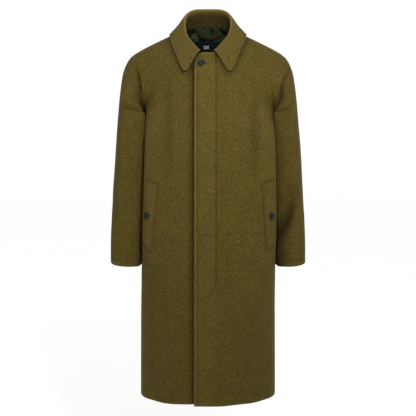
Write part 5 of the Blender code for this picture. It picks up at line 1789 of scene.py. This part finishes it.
all_buttons()
print("button faces", len(BUTTON[1]))

# %% [markdown]
# ## Buttonholes
#
# A keyhole buttonhole is a slit with a small eyelet, bound with close stitches across its edge. One lies in
# the left leaf of the collar, and the collar button has come through the other in the lap.

# %% Buttonholes
PURL_PITCH, PURL_LONG, PURL_THREAD = 0.0008, 0.0019, 0.00016
PURL_OUT, PURL_ROUND, PURL_LIFT, PURL_AHEAD = 0.0013, 0.0009, 0.0001, 0.0005
SLIT_HALF, SLIT_TOP, SLIT_LOW, SLIT_STEPS = 0.00008, 0.00018, -0.0004, 10
EYELET, EYELET_FROM, EYELET_TO, EYELET_STEPS, EYELET_LEAST = 0.0017, -0.9, 0.99, 9, 0.05
LEAF_FRONT_Y = -0.04


def on_collar(x, z):
    """The point of the left leaf at that place seen from the front, and its normal."""
    leaf = collar_face[len(collar_face) // 2 :, STAND_COLUMNS:]
    out = collar_out[len(collar_face) // 2 :, STAND_COLUMNS:]
    far = np.where(leaf[..., 1] < LEAF_FRONT_Y, np.hypot(leaf[..., 0] - x, leaf[..., 2] - z), 1.0)
    near = np.unravel_index(np.argmin(far), far.shape)
    spot, normal = leaf[near], out[near]
    y = spot[1] - (normal[0] * (x - spot[0]) + normal[2] * (z - spot[2])) / normal[1]
    return vec(x, y, z), normal


def on_lap(x, z):
    points, normals = front_place(centre_level(FRONT, vec(z)), vec(x)[None, :], 1)
    return points[0, 0], normals[0, 0]


def purl_spots(start, end, way, side):
    """Places of the stitches along both edges of the slit and round the eyelet, and the way each one lies."""
    slit = np.arange(0, float(np.linalg.norm(end - start)), PURL_PITCH)
    spots = [(start + way * u + side * v, side) for u in slit for v in (-PURL_OUT, PURL_OUT)]
    round_eyelet = EYELET + PURL_ROUND
    for angle in np.arange(0, 2 * math.pi, PURL_PITCH / round_eyelet):
        spoke = way * math.cos(angle) + side * math.sin(angle)
        spots.append((end + spoke * round_eyelet, spoke))
    return spots


def buttonhole(name, surface, start, end):
    """A slit from start to end, given as x and z, with its eyelet at the end."""
    start, end = np.array(start), np.array(end)
    way = unit(end - start)
    side = vec(-way[1], way[0])
    long = float(np.linalg.norm(end - start))
    stitches = []
    for spot, across in purl_spots(start, end, way, side):
        point, normal = surface(*spot)
        ahead, _ = surface(*(spot + across * PURL_AHEAD))
        stitches.append((point + normal * PURL_LIFT, unit(ahead - point), normal))
    places, ways, ups = (np.array(column) for column in zip(*stitches))
    thread_mesh(name, places, ways, ups, PURL_LONG, PURL_THREAD, "buttonhole_silk")
    cut = [(u, SLIT_HALF) for u in np.linspace(0, long - EYELET, SLIT_STEPS)]
    for t in np.linspace(EYELET_FROM, EYELET_TO, EYELET_STEPS):
        cut.append((long + EYELET * t, EYELET * math.sqrt(max(1 - t * t, EYELET_LEAST))))
    grids = []
    for height in (SLIT_TOP, SLIT_LOW):
        rows = [[surface(*(start + way * u + side * v)) for v in (-half, half)] for u, half in cut]
        grids.append(np.array([[p + n * height for p, n in row] for row in rows]))
    # The slit and its eyelet are a thin dark sheet through the cloth: painted shade of the opening.
    wall(name + "_slit", grids[0], grids[1], ["slit_shade"], "coating", np.zeros((len(cut), 2, 2)))


buttonhole("buttonhole_collar", on_collar, (0.0608, -0.0990), (0.0622, -0.1215))
buttonhole("buttonhole_lap", on_lap, (0.0125, -0.1275), (-0.0135, -0.1272))

# %% [markdown]
# ## Inside the neck
#
# Through the open neck one sees satin, a hanger loop and a label. They are only as large as what shows. The
# satin is a little loose, so soft wrinkles run across it, and shade is painted on it under the collar's
# stand.

# %% Lining
LINING_CLOTH = 0.0010
LINING_TOP = 0.0032  # how far it runs up behind the collar
LINING_RISE = 0.0040  # and how much further in front of it at the sides, so that its top looks level
LINING_LOOSE, LINING_LOOSE_MOST = 0.0014, 0.0040  # how far the satin stands off the back
LINING_TOP_ROWS = (0.35, 0.7, 1.0)
LINING_SHORT = 0.001  # it ends this far before a seam
LINING_SHADE_TALL, LINING_SHADE_NAPE = 0.011, 0.30
LINING_BACK_LEVEL, LINING_BACK_ROWS, LINING_BACK_COLUMNS = 3.3, 60, 91
LINING_SLEEVE_LEVEL, LINING_SLEEVE_ROWS, LINING_SLEEVE_COLUMNS, LINING_SLEEVE_FIRST = 7.8, 24, 26, 0.004
HELD_X, HELD_Z, HELD_TALL, HELD_OVER = 0.045, -0.064, 0.025, 0.008  # the place that the label holds flat
LINING_CREASES = [
    Crease(-0.066, -0.004, -0.040, -0.040, 0.0030, 0.0050),
    Crease(-0.056, 0.004, -0.030, -0.024, -0.0026, 0.0055),
    Crease(-0.036, 0.002, -0.024, -0.016, 0.0024, 0.0040),
    Crease(-0.016, 0.004, 0.000, -0.022, 0.0022, 0.0045),
    Crease(-0.002, 0.002, 0.016, -0.024, -0.0026, 0.0050),
    Crease(0.014, 0.004, 0.026, -0.018, 0.0024, 0.0040),
    Crease(0.030, 0.002, 0.058, -0.020, -0.0028, 0.0050),
    Crease(0.044, 0.004, 0.072, -0.016, 0.0026, 0.0045),
    Crease(0.026, -0.030, 0.070, -0.030, 0.0028, 0.0055),
    Crease(-0.074, -0.032, -0.030, -0.040, -0.0024, 0.0060),
    Crease(-0.110, -0.090, -0.060, -0.160, 0.0024, 0.0090),
    Crease(0.060, -0.090, 0.110, -0.150, 0.0024, 0.0090),
]


def under_label(points):
    """1 well away from the label and 0 under it, where the satin is held flat."""
    beside = np.abs(points[..., 0]) - HELD_X
    above = np.abs(points[..., 2] - HELD_Z) - HELD_TALL
    return ease(np.maximum(beside, above) / HELD_OVER)


def lining_wall(name, node, points, normals, lengths, outward):
    """A satin wall inside the given points, running up behind the collar at its last row."""
    sides = neck_side(points[-1:, :, :1])
    rise = vec(0, 0, 1) * (LINING_TOP + LINING_RISE * sides)
    points = np.concatenate([points] + [points[-1:] + rise * share for share in LINING_TOP_ROWS])
    more = len(LINING_TOP_ROWS)
    normals, lengths = (np.concatenate([grid] + [grid[-1:]] * more) for grid in (normals, lengths))
    loose = np.clip(LINING_LOOSE - creased(points, LINING_CREASES), 0.0, LINING_LOOSE_MOST)
    outer = points - normals * (CLOTH + LAYER_GAP)
    inner = outer - normals * (LINING_CLOTH + loose * under_label(points))[..., None]
    up = distances_in(points, 0)
    # Painted shade under the collar's stand, lighter at the nape.
    shaded = LINING_SHADE_NAPE + (1 - LINING_SHADE_NAPE) * sides[..., 0]
    shaded = shaded * bell(up[-1] - up, LINING_SHADE_TALL)
    uv = np.stack([lengths, up], axis=2)
    made = wall(name, inner, outer, ["green_satin"], "lining", uv, outward=-outward, pressed_and_painted_shade=shaded)
    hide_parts(node)
    print(name, outer.shape)


def lining():
    levels = np.linspace(LINING_BACK_LEVEL, NECK_LEVEL, LINING_BACK_ROWS)
    lengths = (BACK.length(levels) - LINING_SHORT)[:, None] * np.linspace(-1, 1, LINING_BACK_COLUMNS)
    points, normals = back_place(levels, lengths)
    lining_wall("lining_back_satin", "lining_back", points, normals, lengths, -1)
    levels = np.linspace(LINING_SLEEVE_LEVEL, NECK_LEVEL, LINING_SLEEVE_ROWS)
    shares = np.linspace(LINING_SLEEVE_FIRST, 1, LINING_SLEEVE_COLUMNS)
    lengths = (SLEEVE_BACK.length(levels) - LINING_SHORT)[:, None] * shares
    u = SLEEVE_BACK.shares(levels, lengths)
    points, normals = SLEEVE_BACK.at(levels, u), SLEEVE_BACK.normals(levels, u)
    for word, side in SIDES.items():
        lining_wall(f"lining_sleeve_{word}_satin", f"lining_sleeve_{word}", mirrored(points, side),
                    mirrored(normals, side), lengths, -side)


lining()

# %% [markdown]
# The label is woven and bare, apart from the small flag that the photo shows. The flag is a grid of cells
# of less than half a millimetre, each coloured by a rule for its bars, which is how a loom would make it.

# %% Label
LABEL_WIDTH, LABEL_TOP_Z, LABEL_LOW_Z = 0.090, -0.0370, -0.088
LABEL_CLOTH, LABEL_OFF = 0.0008, 0.0006
LABEL_ROWS, LABEL_COLUMNS, LABEL_LONG = 24, 40, 0.05
FLAG_X, FLAG_Z, FLAG_WIDE, FLAG_TALL = -0.0054, -0.0543, 0.0172, 0.0104
FLAG_COLUMNS, FLAG_ROWS, FLAG_HALF_CLOTH = 40, 26, 0.0002
FLAG_LOOKS = ["flag_blue", "flag_white", "flag_red"]
# Half widths of the upright and the slanting bars, and of their white edges, for a flag that is 1 tall.
FLAG_BAR, FLAG_BAR_EDGE, FLAG_SLANT, FLAG_SLANT_EDGE = 0.10, 0.17, 0.035, 0.10


def satin_depth():
    """How far inside the back's outer face something that lies on the satin starts."""
    return CLOTH + LAYER_GAP + LINING_CLOTH + 2 * LAYER_GAP


def flag_look(u, v):
    """The look at a place from the flag's middle, as its index in the list of looks."""
    slant = abs(abs(u) * FLAG_TALL - abs(v) * FLAG_WIDE) / math.hypot(FLAG_WIDE, FLAG_TALL)
    upright = min(abs(u), abs(v))
    if upright < FLAG_BAR * FLAG_TALL:
        return 2
    if upright < FLAG_BAR_EDGE * FLAG_TALL:
        return 1
    if slant < FLAG_SLANT * FLAG_TALL:
        return 2
    return 1 if slant < FLAG_SLANT_EDGE * FLAG_TALL else 0


def label():
    levels = centre_level(BACK, np.linspace(LABEL_LOW_Z, LABEL_TOP_Z, LABEL_ROWS))
    across = np.linspace(-LABEL_WIDTH / 2, LABEL_WIDTH / 2, LABEL_COLUMNS)
    lengths = np.tile(across, (LABEL_ROWS, 1))
    depth = satin_depth() + LABEL_OFF
    outer, inner = (back_place(levels, lengths, inset)[0] for inset in (depth, depth + LABEL_CLOTH))
    uv = np.stack(np.meshgrid(across, np.linspace(0, LABEL_LONG, LABEL_ROWS)), axis=2)
    made = wall("label_cloth", outer, inner, ["label_weave"], "label", uv, outward=-1)
    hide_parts("label")


def flag():
    levels = centre_level(BACK, FLAG_Z + np.linspace(-0.5, 0.5, FLAG_ROWS + 1) * FLAG_TALL)
    across = FLAG_X + np.linspace(-0.5, 0.5, FLAG_COLUMNS + 1) * FLAG_WIDE
    lengths = np.tile(across, (len(levels), 1))
    depth = satin_depth() + LABEL_OFF + LABEL_CLOTH
    insets = (depth - FLAG_HALF_CLOTH, depth + FLAG_HALF_CLOTH)
    outer, inner = (back_place(levels, lengths, inset)[0] for inset in insets)
    made = wall("label_flag", outer, inner, FLAG_LOOKS, "label", np.zeros((*lengths.shape, 2)), outward=-1)
    for row in range(FLAG_ROWS):
        v = ((row + 0.5) / FLAG_ROWS - 0.5) * FLAG_TALL
        for column in range(FLAG_COLUMNS):
            u = ((column + 0.5) / FLAG_COLUMNS - 0.5) * FLAG_WIDE
            seen = made.data.polygons[(FLAG_ROWS + row) * FLAG_COLUMNS + column]
            seen.material_index = flag_look(u, v)
    print("flag cells", FLAG_ROWS * FLAG_COLUMNS)


label()
flag()

# %% [markdown]
# The hanger loop is a narrow leather strap, folded so that its edges are round. It is swept along the same
# bow as its solid, and stands off the satin in the middle.

# %% Hanger loop
LOOP_WIDTH, LOOP_CLOTH, LOOP_TOP_Z = 0.010, 0.0024, -0.0015
LOOP_BULGE, LOOP_BULGE_TAPER = 0.006, 1.5
LOOP_STEPS, LOOP_SIDES = 72, 18
LOOP_SQUARE, LOOP_EDGE_ROUND = 0.45, 0.8  # below 1 a section is squarer than an ellipse
LOOP_WORN_SHARP = 3
Bow = namedtuple("Bow", "x z")
LOOP_PATH = [
    Bow(-0.0315, 0.0030),
    Bow(-0.0310, -0.0030),
    Bow(-0.0285, -0.0120),
    Bow(-0.0200, -0.0190),
    Bow(-0.0050, -0.0238),
    Bow(0.0110, -0.0252),
    Bow(0.0240, -0.0226),
    Bow(0.0315, -0.0140),
    Bow(0.0325, -0.0030),
    Bow(0.0322, 0.0030),
]


def hanger_loop():
    path = np.array(LOOP_PATH)
    share = np.linspace(0, 1, LOOP_STEPS)
    line = smooth_through(np.linspace(0, 1, len(path)), path, share)
    heading = unit(np.gradient(line, axis=0))
    sideways = np.stack([-heading[:, 1], heading[:, 0]], axis=1)
    middle = satin_depth() + LOOP_CLOTH / 2 + LOOP_BULGE * np.sin(math.pi * share) ** LOOP_BULGE_TAPER
    rings, wear_and_painted_light = [], []
    for angle in np.linspace(0, 2 * math.pi, LOOP_SIDES, endpoint=False):
        c, s = math.cos(angle), math.sin(angle)
        rail = 0.5 * LOOP_WIDTH * math.copysign(abs(c) ** LOOP_SQUARE, c)
        depth = 0.5 * LOOP_CLOTH * math.copysign(abs(s) ** LOOP_EDGE_ROUND, s)
        spots = line + sideways * rail
        levels = centre_level(BACK, np.minimum(spots[:, 1], LOOP_TOP_Z))
        points = [back_place(vec(level), vec(x)[None, :], inset + depth)[0][0, 0]
                  for level, x, inset in zip(levels, spots[:, 0], middle)]
        rings.append(np.array(points) + np.maximum(spots[:, 1:] - LOOP_TOP_Z, 0) * vec(0, 0, 1))
        wear_and_painted_light.append([abs(c) ** LOOP_WORN_SHARP] * LOOP_STEPS)
    faces = []
    for side in range(LOOP_SIDES):
        a, b = side * LOOP_STEPS, (side + 1) % LOOP_SIDES * LOOP_STEPS
        faces += [(a + k, a + k + 1, b + k + 1, b + k) for k in range(LOOP_STEPS - 1)]
    faces.append(tuple(side * LOOP_STEPS for side in range(LOOP_SIDES)))
    faces.append(tuple(side * LOOP_STEPS - 1 for side in range(LOOP_SIDES, 0, -1)))
    made = piece("hanger_loop_leather", rings, faces, ["brown_leather"], "strap", wear_and_painted_light=np.array(wear_and_painted_light))
    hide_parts("hanger_loop")
    print("hanger loop", LOOP_SIDES, "by", LOOP_STEPS)


hanger_loop()
